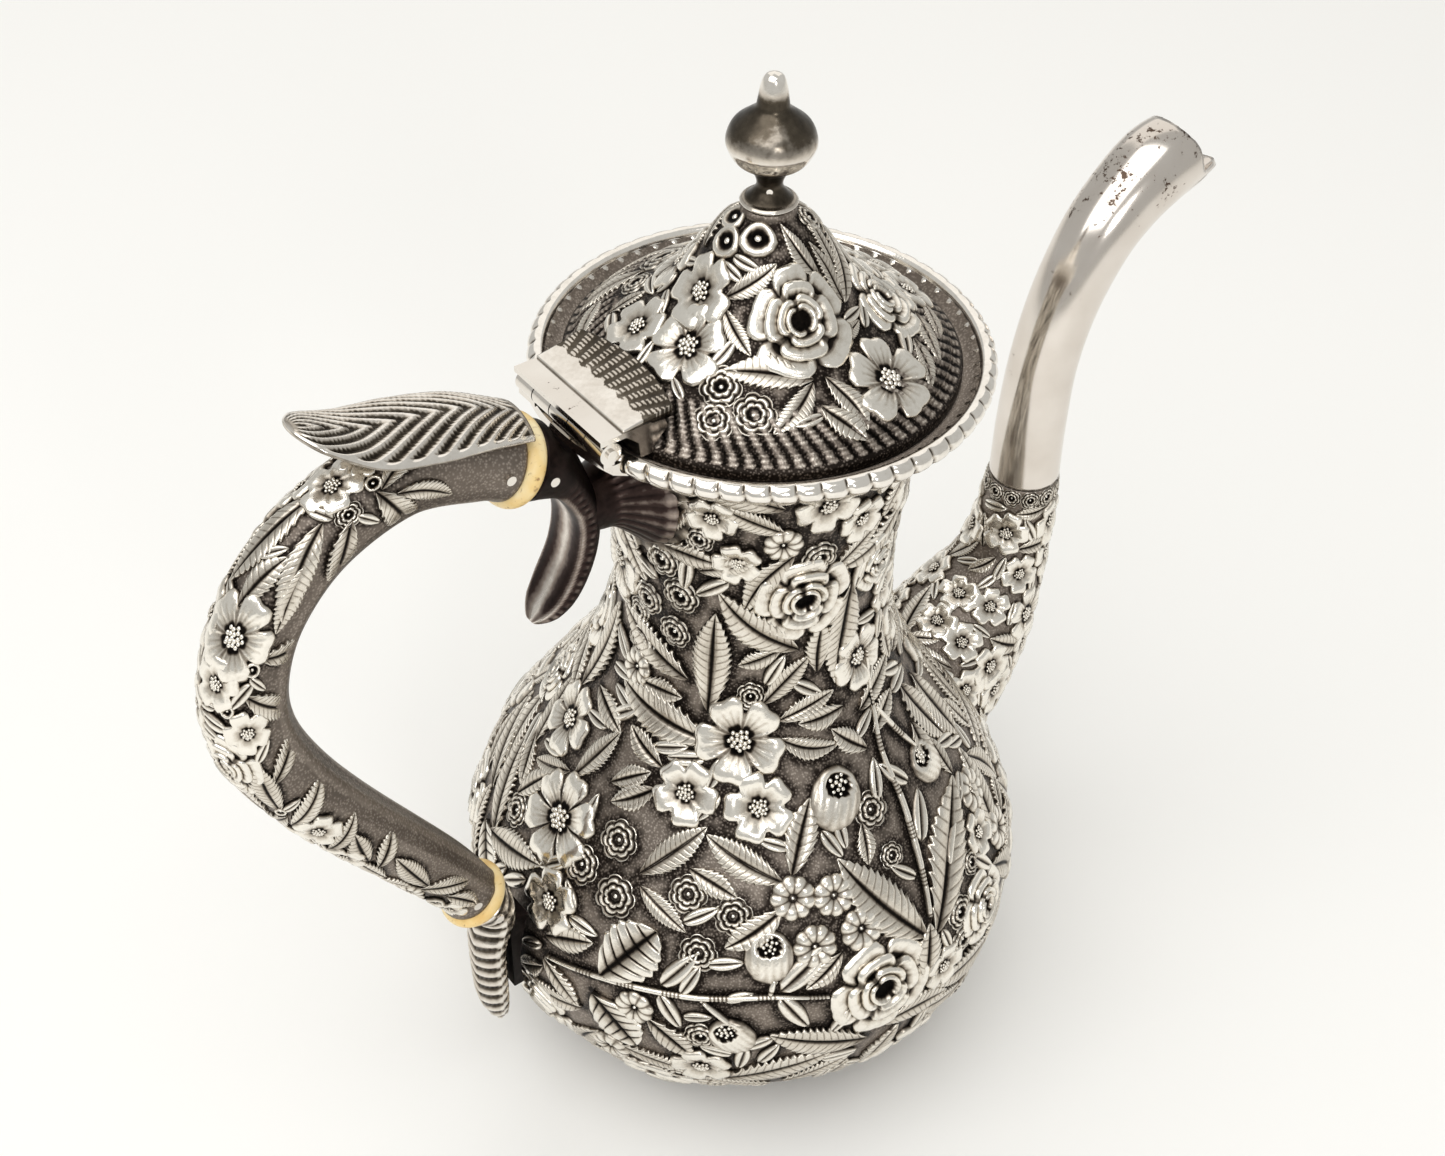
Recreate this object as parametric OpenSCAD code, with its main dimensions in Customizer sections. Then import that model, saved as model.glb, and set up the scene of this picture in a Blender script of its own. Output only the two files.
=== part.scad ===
// Repousse silver coffee pot with a hinged lid, long spout and insulated handle.
// Millimetres. +X is the spout, +Z is up, the origin is on the body axis on the table plane.

/* [Body] */
// Radius of the flat base under the bowl
base_r = 34; // [28:0.5:42]
// Largest radius of the belly
belly_r = 66.8; // [55:0.1:82]
// Height of the widest point of the belly
belly_z = 47; // [40:0.5:58]
// Fullness of the lower bowl, 2 is an ellipse
bowl_power = 2.2; // [2:0.05:2.6]
// Sharpness of the S curve between belly and neck
shoulder_power = 1.15; // [1:0.05:1.3]
// Smallest radius of the neck
neck_r = 31.3; // [27:0.1:38]
// Height of the smallest neck radius
neck_z = 131; // [110:1:160]
// Height of the rim above the table
rim_z = 188; // [160:1:226]
// Slow widening of the neck up to the rim
neck_taper = 6.5; // [3:0.1:9]
// Sudden flare of the mouth at the rim
mouth_flare = 8.4; // [6:0.1:10]
// Thickness of the silver wall
wall = 1.2; // [0.8:0.05:1.6]

/* [Foot] */
// Height of the foot ring
foot_h = 5.5; // [4:0.1:8]
// Width of the foot ring where it stands
foot_w = 5; // [3:0.1:7]
// How far the foot ring spreads beyond the base
foot_spread = 3; // [1:0.1:5]

/* [Rim] */
// Radius of the round border wire at the rim
border_r = 2; // [1.5:0.05:2.6]
// Inner radius of the lid seat below the neck opening
seat_in_r = 36.4; // [35.8:0.1:37]
// Height of the lid seat ring
seat_h = 2.6; // [1.5:0.1:4]

/* [Lid] */
// Depth of the lid edge below the rim
lid_sink = 3.2; // [2:0.1:4]
// Height of the lid dome above its edge
lid_h = 35.4; // [28:0.1:44]
// Height of the plain band at the lid edge
lid_band = 1.6; // [1:0.1:3]
// Thickness of the lid metal
lid_wall = 1; // [0.7:0.05:1.4]
// Depth of the bezel that drops into the neck
bezel_depth = 6.3; // [4:0.1:8]
// Thickness of the bezel ring
bezel_wall = 1; // [0.7:0.05:1.4]

/* [Finial] */
// Largest radius of the finial bulb
bulb_r = 8.5; // [6:0.1:11]
// Height of the finial from its foot to its tip
finial_h = 26.4; // [20:0.1:34]
// Radius of the finial's trumpet foot
finial_foot_r = 5.2; // [4.5:0.1:6.5]
// Radius of the peg that the finial is pinned to
peg_r = 1.3; // [1:0.05:1.6]
// Radius of the cross pin in the finial neck
finial_pin_r = 0.6; // [0.4:0.05:0.8]

/* [Hinge] */
// Radius of the hinge knuckles
knuckle_r = 2.3; // [1.8:0.05:2.7]
// Radius of the hinge pin
hinge_pin_r = 1; // [0.8:0.05:1.2]
// Length of the hinge barrel
hinge_len = 29; // [24:0.5:34]
// Height of the hinge axis above the rim
hinge_rise = 2; // [1.8:0.1:3]
// Thickness of the leaf on the lid
leaf_t = 1.2; // [0.8:0.1:1.8]
// Length of the lid leaf over the lid border
leaf_len = 14; // [12:0.5:17]
// Thickness of the curved leaf below the barrel
bracket_t = 1.4; // [1:0.1:2]

/* [Spout] */
// Distance of the upright part of the spout beyond the belly
spout_out = 15.8; // [12:0.1:20]
// Height of the joint between root and tube above the belly
spout_rise = 70.7; // [62:0.1:80]
// Radius of the plain tube at the joint
tube_r = 8.4; // [7:0.1:9.5]
// Thickness of the spout metal
spout_wall = 1; // [0.8:0.05:1.4]
// Extra radius of the ornamented root over the tube
root_extra = 1; // [0.6:0.1:1.6]
// Radius of one strainer hole
strainer_r = 2; // [1.2:0.1:2.4]
// Pitch of the strainer holes
strainer_pitch = 7; // [6:0.1:9]

/* [Handle] */
// Distance of the upper insulator beyond the neck
upper_out = 27.7; // [25:0.1:32]
// Depth of the upper insulator below the rim
upper_drop = 2.5; // [1:0.1:5]
// Downward tilt of the upper insulator's axis
upper_tilt = 28; // [20:1:32]
// Distance of the lower insulator beyond the belly
lower_out = 8.2; // [7.5:0.1:11]
// Height of the lower insulator above the belly's widest point
lower_rise = 24.7; // [20:0.1:30]
// Lean of the lower end of the handle from upright
lower_tilt = 31; // [26:1:36]
// How far the handle bends out beyond its two ends
handle_reach = 54.7; // [46:0.1:65]
// Radius of the handle at its outer bend
handle_r = 8.7; // [7.5:0.1:9.5]
// Thickness of the hollow handle's wall
handle_wall = 1.5; // [1:0.05:2.2]
// Length of the thumb leaf from the insulator to its tip
thumb_len = 44; // [36:0.5:50]
// Half width of the thumb leaf
thumb_half_w = 10.5; // [8:0.5:12]

/* [Insulators] */
// Radius of the upper insulator disc
upper_ins_r = 9.3; // [8.8:0.1:11]
// Thickness of the upper insulator disc
upper_ins_t = 4.8; // [3:0.1:6]
// Radius of the lower insulator disc
lower_ins_r = 7.9; // [7.5:0.1:9]
// Thickness of the lower insulator disc
lower_ins_t = 4; // [3:0.1:5]
// Radius of the insulator tenons
tenon_r = 4.5; // [3.5:0.1:4.8]
// Length of the tenons on each side
tenon_len = 6; // [5:0.1:7]
// Radius of the cross pins through the tenons
cross_pin_r = 1; // [0.7:0.05:1.2]

/* [Mounts] */
// Height of the upper mount below the rim
mount_drop = 20; // [18:0.5:24]
// Radius of the upper mount at the socket
mount_r = 7; // [5.5:0.1:8]
// Radius of the scalloped fan where the mount meets the neck
fan_r = 14; // [11:0.1:16]
// Width of the lower mount
lower_mount_w = 9; // [6:0.1:11]

/* [Fits] */
// Gap between the lid edge and the inside of the mouth
lid_gap = 0.6; // [0.4:0.05:1]
// Gap between the lid flange and its seat
seat_gap = 0.3; // [0.2:0.05:0.5]
// Gap between neighbouring knuckles
knuckle_gap = 0.3; // [0.15:0.05:0.5]
// Radial clearance of the hinge pin in the lid knuckles
pin_play = 0.05; // [0.02:0.01:0.1]
// Gap between the scroll and the rim border
rim_gap = 0.1; // [0.05:0.05:0.3]

/* [Hidden] */
silver = "silver";
dark_silver = "#6b6460";
horn = "#e8cf97";
$fn = 96;
tiny = 0.01;

// ---- curves -------------------------------------------------------------
// Catmull-Rom point between b and c, with neighbours a and d
function cr_at(a, b, c, d, t) =
    0.5 * (2 * b + (c - a) * t + (2 * a - 5 * b + 4 * c - d) * t * t + (3 * b - a - 3 * c + d) * t * t * t);
// A smooth run of n steps per span through the points p
function smooth(p, n) = concat(
    [for (i = [0 : len(p) - 2]) for (k = [0 : n - 1])
        cr_at(p[max(i - 1, 0)], p[i], p[i + 1], p[min(i + 2, len(p) - 1)], k / n)],
    [p[len(p) - 1]]);
function unit(v) = v / norm(v);
function reversed(p) = [for (i = [len(p) - 1 : -1 : 0]) p[i]];
// Left-hand normals of an open polyline
function normals(p) = [for (i = [0 : len(p) - 1])
    let (t = unit(p[min(i + 1, len(p) - 1)] - p[max(i - 1, 0)])) [-t[1], t[0]]];

// ---- body outline -------------------------------------------------------
function bowl_r(z) = base_r + (belly_r - base_r)
    * pow(1 - pow(1 - (z - foot_h) / (belly_z - foot_h), bowl_power), 1 / bowl_power);
function shoulder_r(z) = neck_r + (belly_r - neck_r)
    * pow((1 + cos(180 * (z - belly_z) / (neck_z - belly_z))) / 2, shoulder_power);
function flare_r(z) = let (t = (z - neck_z) / (rim_z - neck_z))
    neck_r + neck_taper * t * t + mouth_flare * pow(t, 9);
function body_r(z) = z <= foot_h ? base_r : z < belly_z ? bowl_r(z) : z < neck_z ? shoulder_r(z) : flare_r(z);
function slope_at(z) = (body_r(z + 0.1) - body_r(z - 0.1)) / 0.2;
function body_in_r(z) = body_r(z) - wall * sqrt(1 + pow(slope_at(z), 2));

bowl_steps = 12;
shoulder_steps = 14;
flare_steps = 14;
edge_z = rim_z - 1;
body_out = concat(
    [for (i = [0 : bowl_steps - 1]) let (z = foot_h + (belly_z - foot_h) * (1 - cos(90 * i / bowl_steps)))
        [body_r(z), z]],
    [for (i = [0 : shoulder_steps - 1]) let (z = belly_z + (neck_z - belly_z) * i / shoulder_steps)
        [body_r(z), z]],
    [for (i = [0 : flare_steps]) let (z = neck_z + (edge_z - neck_z) * sin(90 * i / flare_steps))
        [body_r(z), z]]);
body_n = normals(body_out);
body_in = concat([[base_r, foot_h + wall]],
    [for (i = [1 : len(body_out) - 2]) body_out[i] + wall * body_n[i]],
    [[body_in_r(edge_z), edge_z]]);

module body_outer_2d() polygon(concat([[0, foot_h]], body_out, [[0, edge_z]]));
module cavity_2d() polygon(concat([[0, foot_h + wall]], body_in, [[0, edge_z]]));
module wall_2d() polygon(concat(body_out, reversed(body_in)));
// The border is a round wire that caps the body's edge
border_at = [body_r(edge_z) - 0.1, rim_z - border_r];
rim_r = border_at[0] + border_r;
border_sides = 20;
module border_2d() translate(border_at)
    polygon([for (i = [0 : border_sides - 1]) let (a = 360 * i / border_sides) border_r * [cos(a), sin(a)]]);
module mouth_outer_2d() {
    body_outer_2d();
    border_2d();
}
// Solid envelope of the pot, which fitted pieces are cut back to
// The seam of each turned solid is turned to +Y, away from the spout and the handle
module turned() rotate([0, 0, 90]) rotate_extrude() children();
module body_solid() turned() body_outer_2d();
module mouth_solid() turned() mouth_outer_2d();

// ---- lid outline --------------------------------------------------------
lid_z = rim_z - lid_sink;
lid_r = body_in_r(lid_z) - lid_gap;
lid_top_z = lid_z + lid_h;
lid_crown_r = 4.5;
// The ogee from the finial's foot down to the band, as shares of the lid's radius and height
ogee = smooth([for (p = [[0.11, 1], [0.225, 0.915], [0.325, 0.77], [0.43, 0.6], [0.56, 0.44],
                         [0.71, 0.325], [0.86, 0.225], [0.955, 0.135]])
    [p[0] * lid_r, lid_z + p[1] * lid_h]], 3);
lid_out = concat([[0, lid_top_z]], ogee, [[lid_r, lid_z + lid_band], [lid_r, lid_z]]);
lid_n = normals(lid_out);
lid_in = concat([[0, lid_top_z - lid_wall]],
    [for (i = [1 : len(lid_out) - 3]) lid_out[i] + lid_wall * -lid_n[i]],
    [[lid_r - lid_wall, lid_z + lid_band - 0.4], [lid_r - lid_wall, lid_z]]);
bezel_r = seat_in_r - 1.2;
flange_t = 0.8;
module lid_solid() turned() polygon(concat(lid_out, [[0, lid_z]]));

// ---- finial -------------------------------------------------------------
finial_z = lid_top_z;
peg_top = finial_z + 0.25 * finial_h;
peg_foot_z = lid_top_z - lid_wall - 0.8;
finial_pin_z = finial_z + 0.125 * finial_h;
finial_side = concat(
    [[finial_foot_r, 0], [finial_foot_r, 0.7]],
    smooth([[finial_foot_r - 0.7, 1], [3.4, 2.1], [2.6, 3.3], [2.6, 4.6], [3.3, 6.2]], 3),
    smooth([[4.4, 7.4], [0.8 * bulb_r, 0.34 * finial_h], [0.97 * bulb_r, 0.43 * finial_h],
            [bulb_r, 0.5 * finial_h], [0.88 * bulb_r, 0.6 * finial_h], [0.62 * bulb_r, 0.67 * finial_h],
            [3.4, 0.73 * finial_h], [2.9, 0.8 * finial_h], [2.5, 0.89 * finial_h],
            [1.7, 0.97 * finial_h], [0, finial_h]], 3));

// ---- hinge --------------------------------------------------------------
hinge_x = -(rim_r - 0.5);
hinge_z = rim_z + hinge_rise;
leaf_z = hinge_z + knuckle_r + 0.1;
leaf_back = hinge_x - knuckle_r;
// Room that the leaf's back corner needs as the lid swings open
leaf_swing_r = norm([knuckle_r, knuckle_r + 0.1 + leaf_t]) + 0.45;
knuckle_pitch = hinge_len / 5;
bracket_top = hinge_z - knuckle_r - 0.5;
// Middle of knuckle number i, counted from -2 to 2 along Y
function knuckle_y(i) = i * knuckle_pitch;
knuckle_len = knuckle_pitch - knuckle_gap;
module hinge_rod(r, length, y = 0) translate([hinge_x, y, hinge_z]) rotate([90, 0, 0])
    cylinder(r = r, h = length, center = true);
module knuckle(i, play) difference() {
    hinge_rod(knuckle_r, knuckle_len, knuckle_y(i));
    hinge_rod(hinge_pin_r + play, knuckle_pitch + 1, knuckle_y(i));
}

// ---- swept tubes --------------------------------------------------------
// Rings of an elliptic section along a path in the XZ plane.
// path: [x, z], size: [half width in the plane, half width in Y]; the end rings face along dir0 and dir1
function sweep_dir(path, i, dir0, dir1) =
    i == 0 ? dir0 : i == len(path) - 1 ? dir1 : unit(path[i + 1] - path[i - 1]);
function ring(c, d, s, sides) = [for (k = [0 : sides - 1]) let (a = 360 * k / sides)
    [c[0] - s[0] * cos(a) * d[1], s[1] * sin(a), c[1] + s[0] * cos(a) * d[0]]];
module sweep(path, size, dir0, dir1, sides = 24) {
    m = len(path);
    rings = [for (i = [0 : m - 1]) each ring(path[i], sweep_dir(path, i, dir0, dir1), size[i], sides)];
    centres = [for (c = [path[0], path[m - 1]]) [c[0], 0, c[1]]];
    walls = [for (i = [0 : m - 2]) for (k = [0 : sides - 1]) let (n = (k + 1) % sides)
        each [[i * sides + k, (i + 1) * sides + n, (i + 1) * sides + k],
              [i * sides + k, i * sides + n, (i + 1) * sides + n]]];
    ends = [for (k = [0 : sides - 1]) let (n = (k + 1) % sides)
        each [[m * sides, n, k],
              [m * sides + 1, (m - 1) * sides + k, (m - 1) * sides + n]]];
    polyhedron(concat(rings, centres), concat(walls, ends), convexity = 6);
}
function shrink(size, t) = [for (s = size) [s[0] - t, s[1] - t]];

// ---- spout --------------------------------------------------------------
spout_x = belly_r + spout_out;
spout_z = belly_z + spout_rise;
up = [0, 1];
root_dir = unit([1, 0.8]);
beak_dir = unit([1, -0.2]);
// Each station is [dx, dz, half width in the plane, half width in Y] from the joint
root_stations = [[-33, -58, 27, 21], [-20.6, -48, 22.5, 18.5], [-10.4, -36.7, 17.3, 15.5],
                 [-4.4, -26.5, 13, 12.2], [-1.4, -15, tube_r + root_extra + 1.2, tube_r + root_extra + 0.9],
                 [0, 0, tube_r + root_extra, tube_r + root_extra]];
tube_stations = [[0, 0, tube_r, tube_r], [-0.3, 15.2, tube_r - 0.2, tube_r - 0.2],
                 [0.7, 32, tube_r - 0.5, tube_r - 0.5], [4.4, 47.1, tube_r - 0.4, tube_r - 0.4],
                 [11.1, 60.4, tube_r, tube_r], [18.3, 68.2, tube_r + 0.4, tube_r + 0.4],
                 [26, 73.4, tube_r + 0.9, tube_r + 0.9], [32, 75.2, tube_r + 0.8, tube_r + 0.7],
                 [37.4, 75.3, tube_r, tube_r - 0.4], [43.4, 74.4, tube_r - 2.3, tube_r - 3.4],
                 [48, 73.4, tube_r - 4.4, tube_r - 6.2]];
function path_of(st, n) = [for (s = smooth(st, n)) [spout_x + s[0], spout_z + s[1]]];
function size_of(st, n) = [for (s = smooth(st, n)) [s[2], s[3]]];
// Outline of what is cut away to open the mouth, from the upper lip to the beak
mouth_cut = smooth([[30.6, 84], [36, 80.6], [39.8, 77], [41, 73.6], [43.6, 71.3], [48.4, 69.2]], 4);
module spout_skin(st, dir0, dir1) sweep(path_of(st, 3), size_of(st, 3), dir0, dir1);
// The hollow inside a spout piece runs on past both of its ends
past = 3;
module spout_hollow(st, t, dir0, dir1) {
    path = path_of(st, 3);
    size = shrink(size_of(st, 3), t);
    last = len(path) - 1;
    sweep(concat([path[0] - past * dir0], path, [path[last] + past * dir1]),
          concat([size[0]], size, [size[last]]), dir0, dir1);
}

// ---- handle -------------------------------------------------------------
upper_at = [-(neck_r + upper_out), rim_z - upper_drop];
lower_at = [-(belly_r + lower_out), belly_z + lower_rise];
// Directions from each insulator into the handle
upper_dir = [-cos(upper_tilt), sin(upper_tilt)];
lower_dir = [-sin(lower_tilt), cos(lower_tilt)];
// A point of the handle: a share of the way down from upper to lower end, and a share of the reach
function handle_at(s) = upper_at + s[0] * (lower_at - upper_at) - [s[1] * handle_reach, 0];
handle_start = upper_at + upper_dir * upper_ins_t / 2;
handle_end = lower_at + lower_dir * lower_ins_t / 2;
handle_line = [handle_start + upper_dir * 6, handle_at([-0.07, 0.44]), handle_at([-0.02, 0.74]),
               handle_at([0.085, 0.93]), handle_at([0.21, 1]), handle_at([0.33, 0.97]),
               handle_at([0.46, 0.84]), handle_at([0.62, 0.61]), handle_end + lower_dir * 14];
handle_mid = smooth(handle_line, 3);
handle_path = concat([handle_start], handle_mid, [handle_end]);
// Radius along the handle: slim at the ends, full at the outer bend
function handle_size(i) = let (t = i / (len(handle_path) - 1))
    [for (k = [0, 1]) (t < 0.5 ? handle_r - 0.4 * pow(1 - 2 * t, 2) : handle_r - 1.7 * pow(2 * t - 1, 2))];
handle_sizes = [for (i = [0 : len(handle_path) - 1]) handle_size(i)];
hollow_sizes = shrink([for (i = [1 : len(handle_mid)]) handle_sizes[i]], handle_wall);
module at_upper() translate([upper_at[0], 0, upper_at[1]]) rotate([0, upper_tilt - 90, 0]) children();
module at_lower() translate([lower_at[0], 0, lower_at[1]]) rotate([0, -lower_tilt, 0]) children();
upper_pin_at = upper_ins_t / 2 + tenon_len / 2;
lower_pin_at = lower_ins_t / 2 + tenon_len / 2;
module cross_pin(at, half_len) translate([0, 0, at]) rotate([90, 0, 0])
    cylinder(r = cross_pin_r, h = 2 * half_len, center = true, $fn = 32);
module tenon_hole(t) {
    translate([0, 0, t / 2 - 1]) cylinder(r = tenon_r, h = tenon_len + 1);
    translate([0, 0, -t / 2 - tenon_len]) cylinder(r = tenon_r, h = tenon_len + 1);
}
module insulator(r, t) {
    rotate_extrude() {
        translate([0, -t / 2]) square([r - t / 2, t]);
        translate([r - t / 2, 0]) intersection() {
            circle(r = t / 2, $fn = 32);
            translate([0, -t]) square([t, 2 * t]);
        }
    }
    translate([0, 0, -t / 2 - tenon_len]) cylinder(r = tenon_r, h = t + 2 * tenon_len);
}

// ---- sockets and mounts -------------------------------------------------
mount_z = rim_z - mount_drop;
mount_x = -(neck_r + 10.2);
scroll_back = mount_x - 3.6;
socket_start = upper_at - upper_dir * upper_ins_t / 2;
// The scroll runs from the insulator over an elbow and down to a curled tip
scroll_path = smooth([socket_start, socket_start - upper_dir * 4.5,
    [scroll_back - 3.6, mount_z + 9], [scroll_back, mount_z], [scroll_back - 1, mount_z - 10],
    [scroll_back - 5.6, mount_z - 19], [scroll_back - 11.6, mount_z - 25]], 3);
scroll_sizes = smooth([[8.3, 8.3], [7.6, 8], [5.2, 7.2], [4.1, 6.8], [3.9, 6.6], [3.6, 6.2], [2.2, 3.6]], 3);
tail_start = lower_at - lower_dir * lower_ins_t / 2;
tail_back = -(belly_r + 1.9);
tail_path = smooth([tail_start, tail_start - lower_dir * 7, [tail_back - 3.7, belly_z + 7],
    [tail_back - 3.8, belly_z - 5], [tail_back - 3.4, belly_z - 15], [tail_back - 1.6, belly_z - 24]], 2);
tail_sizes = smooth([[6.9, 6.9], [5, 6.7], [3.8, 6.3], [3.6, 6.1], [3.2, 5.4], [1.4, 2]], 2);
lower_mount_top = belly_z + 14;
lower_mount_bottom = belly_z - 9;

// ---- pot body -----------------------------------------------------------
// The body is raised in three rings, soldered where it is widest and where it is narrowest
module wall_ring(z0, z1) turned() intersection() {
    wall_2d();
    translate([0, z0]) square([2 * belly_r, z1 - z0]);
}
module body_bowl() color(silver) wall_ring(0, belly_z);
module body_neck() color(silver) wall_ring(neck_z, rim_z);
module body_shoulder() color(silver) difference() {
    wall_ring(belly_z, neck_z);
    for (row = [-2 : 2])
        for (k = [0 : 3 - abs(row)])
            strainer_hole(k - (3 - abs(row)) / 2, 0.87 * row);
}

strainer_z = belly_z + 24;
// One hole through the spout side of the belly, placed in pitches from the middle of the pattern
module strainer_hole(across, above)
    translate([0, across * strainer_pitch, strainer_z + above * strainer_pitch]) rotate([0, 90, 0])
        cylinder(r = strainer_r, h = belly_r, $fn = 24);

module base_disc() color(silver) translate([0, 0, foot_h]) cylinder(r = base_r, h = wall);

foot_r = base_r + foot_spread;
module foot_ring() color(silver) rotate_extrude()
    polygon([[foot_r - foot_w, 0], [foot_r, 0], [foot_r, 0.3 * foot_h], [base_r + 0.4, 0.75 * foot_h],
             [base_r, foot_h], [foot_r - foot_w, foot_h]]);

module rim_border() color(silver) difference() {
    turned() difference() {
        border_2d();
        body_outer_2d();
    }
    hinge_rod(knuckle_r + 0.4, hinge_len + 2);
}

module lid_seat_ring() color(silver) rotate_extrude() intersection() {
    cavity_2d();
    translate([seat_in_r, lid_z - seat_gap - seat_h]) square([border_r + 8, seat_h]);
}

// ---- lid ----------------------------------------------------------------
module lid_dome() color(silver) difference() {
    rotate_extrude() polygon(concat(lid_out, reversed(lid_in)));
    translate([0, 0, lid_top_z - 5]) cylinder(r = peg_r, h = 10, $fn = 32);
}

module lid_bezel() color(silver) rotate_extrude() {
    translate([bezel_r - bezel_wall, lid_z - bezel_depth]) square([bezel_wall, bezel_depth + flange_t]);
    translate([bezel_r - tiny, lid_z]) square([lid_r - lid_wall - bezel_r + tiny, flange_t]);
}

module finial() color(silver) difference() {
    translate([0, 0, finial_z]) rotate_extrude() polygon(concat([[0, 0]], finial_side));
    translate([0, 0, finial_z - 1]) cylinder(r = peg_r, h = peg_top - finial_z + 1, $fn = 32);
    finial_cross(4);
}

module finial_cross(half_len) translate([0, 0, finial_pin_z]) rotate([90, 0, -38])
    cylinder(r = finial_pin_r, h = 2 * half_len, center = true, $fn = 24);

module finial_peg() color(silver) difference() {
    union() {
        translate([0, 0, peg_foot_z]) cylinder(r = 3.6, h = 0.8, $fn = 32);
        translate([0, 0, peg_foot_z]) cylinder(r = peg_r, h = peg_top - peg_foot_z, $fn = 32);
    }
    finial_cross(4);
}

module finial_pin() color(silver) finial_cross(2.75);

// ---- hinge --------------------------------------------------------------
module hinge_lid_leaf() color(silver) difference() {
    translate([0, hinge_len / 2, 0]) rotate([90, 0, 0]) linear_extrude(hinge_len)
        polygon([[leaf_back, leaf_z], [leaf_back, leaf_z + leaf_t], [leaf_back + leaf_len, leaf_z + leaf_t],
                 [leaf_back + leaf_len + 3, lid_z + lid_band], [-lid_r + 0.2, lid_z + lid_band],
                 [-lid_r - 0.3, hinge_z], [hinge_x + 3.4, leaf_z]]);
    lid_solid();
}

module lid_knuckles() color(silver) for (i = [-1, 1]) {
    knuckle(i, pin_play);
    difference() {
        translate([hinge_x - 1, knuckle_y(i) - knuckle_len / 2, hinge_z])
            cube([2, knuckle_len, leaf_z - hinge_z]);
        hinge_rod(knuckle_r - 0.2, hinge_len);
    }
}

module hinge_body_leaf() color(silver) intersection() {
    turned() difference() {
        polygon([[body_r(rim_z - 8), rim_z - 8], [rim_r + bracket_t, rim_z - 3],
                 [rim_r + bracket_t, bracket_top], [rim_r - 1, bracket_top], [neck_r, rim_z - 3]]);
        mouth_outer_2d();
    }
    translate([-2 * rim_r, -hinge_len / 2, 0]) cube([2 * rim_r, hinge_len, 2 * rim_z]);
}

module body_knuckles() color(silver) for (i = [-2, 0, 2]) {
    knuckle(i, 0);
    difference() {
        translate([hinge_x - 1.6, knuckle_y(i) - knuckle_len / 2, bracket_top])
            cube([2.4, knuckle_len, hinge_z - bracket_top]);
        hinge_rod(knuckle_r - 0.2, hinge_len + 1);
        mouth_solid();
    }
}

module hinge_pin() color(silver) hinge_rod(hinge_pin_r, hinge_len + 0.8);

// ---- spout --------------------------------------------------------------
module spout_root() color(silver) difference() {
    spout_skin(root_stations, root_dir, up);
    spout_hollow(root_stations, spout_wall + root_extra, root_dir, up);
    body_solid();
}

module spout_tube() color(silver) difference() {
    spout_skin(tube_stations, up, beak_dir);
    spout_hollow(tube_stations, spout_wall, up, beak_dir);
    translate([spout_x, 20, spout_z]) rotate([90, 0, 0]) linear_extrude(40)
        polygon(concat([[30.6, 95]], mouth_cut, [[60, 69.2], [60, 95]]));
}

// ---- handle -------------------------------------------------------------
module handle_body() color(silver) difference() {
    sweep(handle_path, handle_sizes, upper_dir, -lower_dir);
    sweep(handle_mid, hollow_sizes, upper_dir, -lower_dir);
    at_upper() tenon_hole(upper_ins_t);
    at_lower() tenon_hole(lower_ins_t);
    at_upper() cross_pin(upper_pin_at, 12);
    at_lower() cross_pin(lower_pin_at, 12);
}

// The leaf lies on top of the handle and curls up clear of it at the tip
thumb_root = upper_at + upper_dir * (upper_ins_t / 2 + 0.3) + handle_r * [upper_dir[1], -upper_dir[0]];
// Rise of the leaf over its root at equal steps along it
thumb_rise = [1, 6.5, 9.4, 11.5, 17];
thumb_path = smooth([for (i = [0 : 4]) thumb_root + [-thumb_len * i / 4, thumb_rise[i]]], 4);
thumb_sizes = smooth([[1.4, 6.5], [1.8, 9.3], [1.7, thumb_half_w], [1.5, 0.82 * thumb_half_w], [1.1, 2.4]],
                     4);
module thumb_leaf() color(silver) difference() {
    sweep(thumb_path, thumb_sizes, unit([-1, 0.5]), unit([-1, 0.9]), 20);
    sweep(handle_path, handle_sizes, upper_dir, -lower_dir);
    at_upper() cylinder(r = 3 * upper_ins_r, h = upper_ins_t + 0.3, center = true);
}

module upper_insulator() color(horn) difference() {
    at_upper() insulator(upper_ins_r, upper_ins_t);
    at_upper() cross_pin(upper_pin_at, 12);
    at_upper() cross_pin(-upper_pin_at, 12);
}

module lower_insulator() color(horn) difference() {
    at_lower() insulator(lower_ins_r, lower_ins_t);
    at_lower() cross_pin(lower_pin_at, 12);
    at_lower() cross_pin(-lower_pin_at, 12);
}

// The scroll stops at the mount's face, and clears the hinge and the rim
scroll_room = 2 * mount_r;
module rim_clearance() translate([0, 0, rim_z - 2 * border_r - rim_gap])
    cylinder(r = rim_r + rim_gap, h = scroll_room);
module upper_socket() color(dark_silver) difference() {
    union() {
        sweep(scroll_path, scroll_sizes, -upper_dir, unit([-1, -0.9]), 20);
        translate([scroll_back, 0, mount_z]) rotate([0, 90, 0])
            cylinder(r = mount_r - 1, h = mount_x - scroll_back);
    }
    at_upper() tenon_hole(upper_ins_t);
    at_upper() cross_pin(-upper_pin_at, 12);
    translate([mount_x, -scroll_room, mount_z - scroll_room]) cube(2 * scroll_room);
    hinge_rod(leaf_swing_r, hinge_len + 2);
    hinge_body_leaf();
    rim_clearance();
}

// A trumpet from the socket's boss to the neck
fan_side = smooth([[mount_r, 0], [mount_r + 0.6, 3], [0.76 * fan_r, 6.5], [fan_r, 10.4]], 4);
module upper_mount() color(dark_silver) difference() {
    translate([mount_x, 0, mount_z]) rotate([0, 90, 0]) rotate_extrude()
        polygon(concat([[0, 0]], fan_side, [[fan_r - 0.6, 12.4], [0, 12.4]]));
    body_solid();
}

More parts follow.
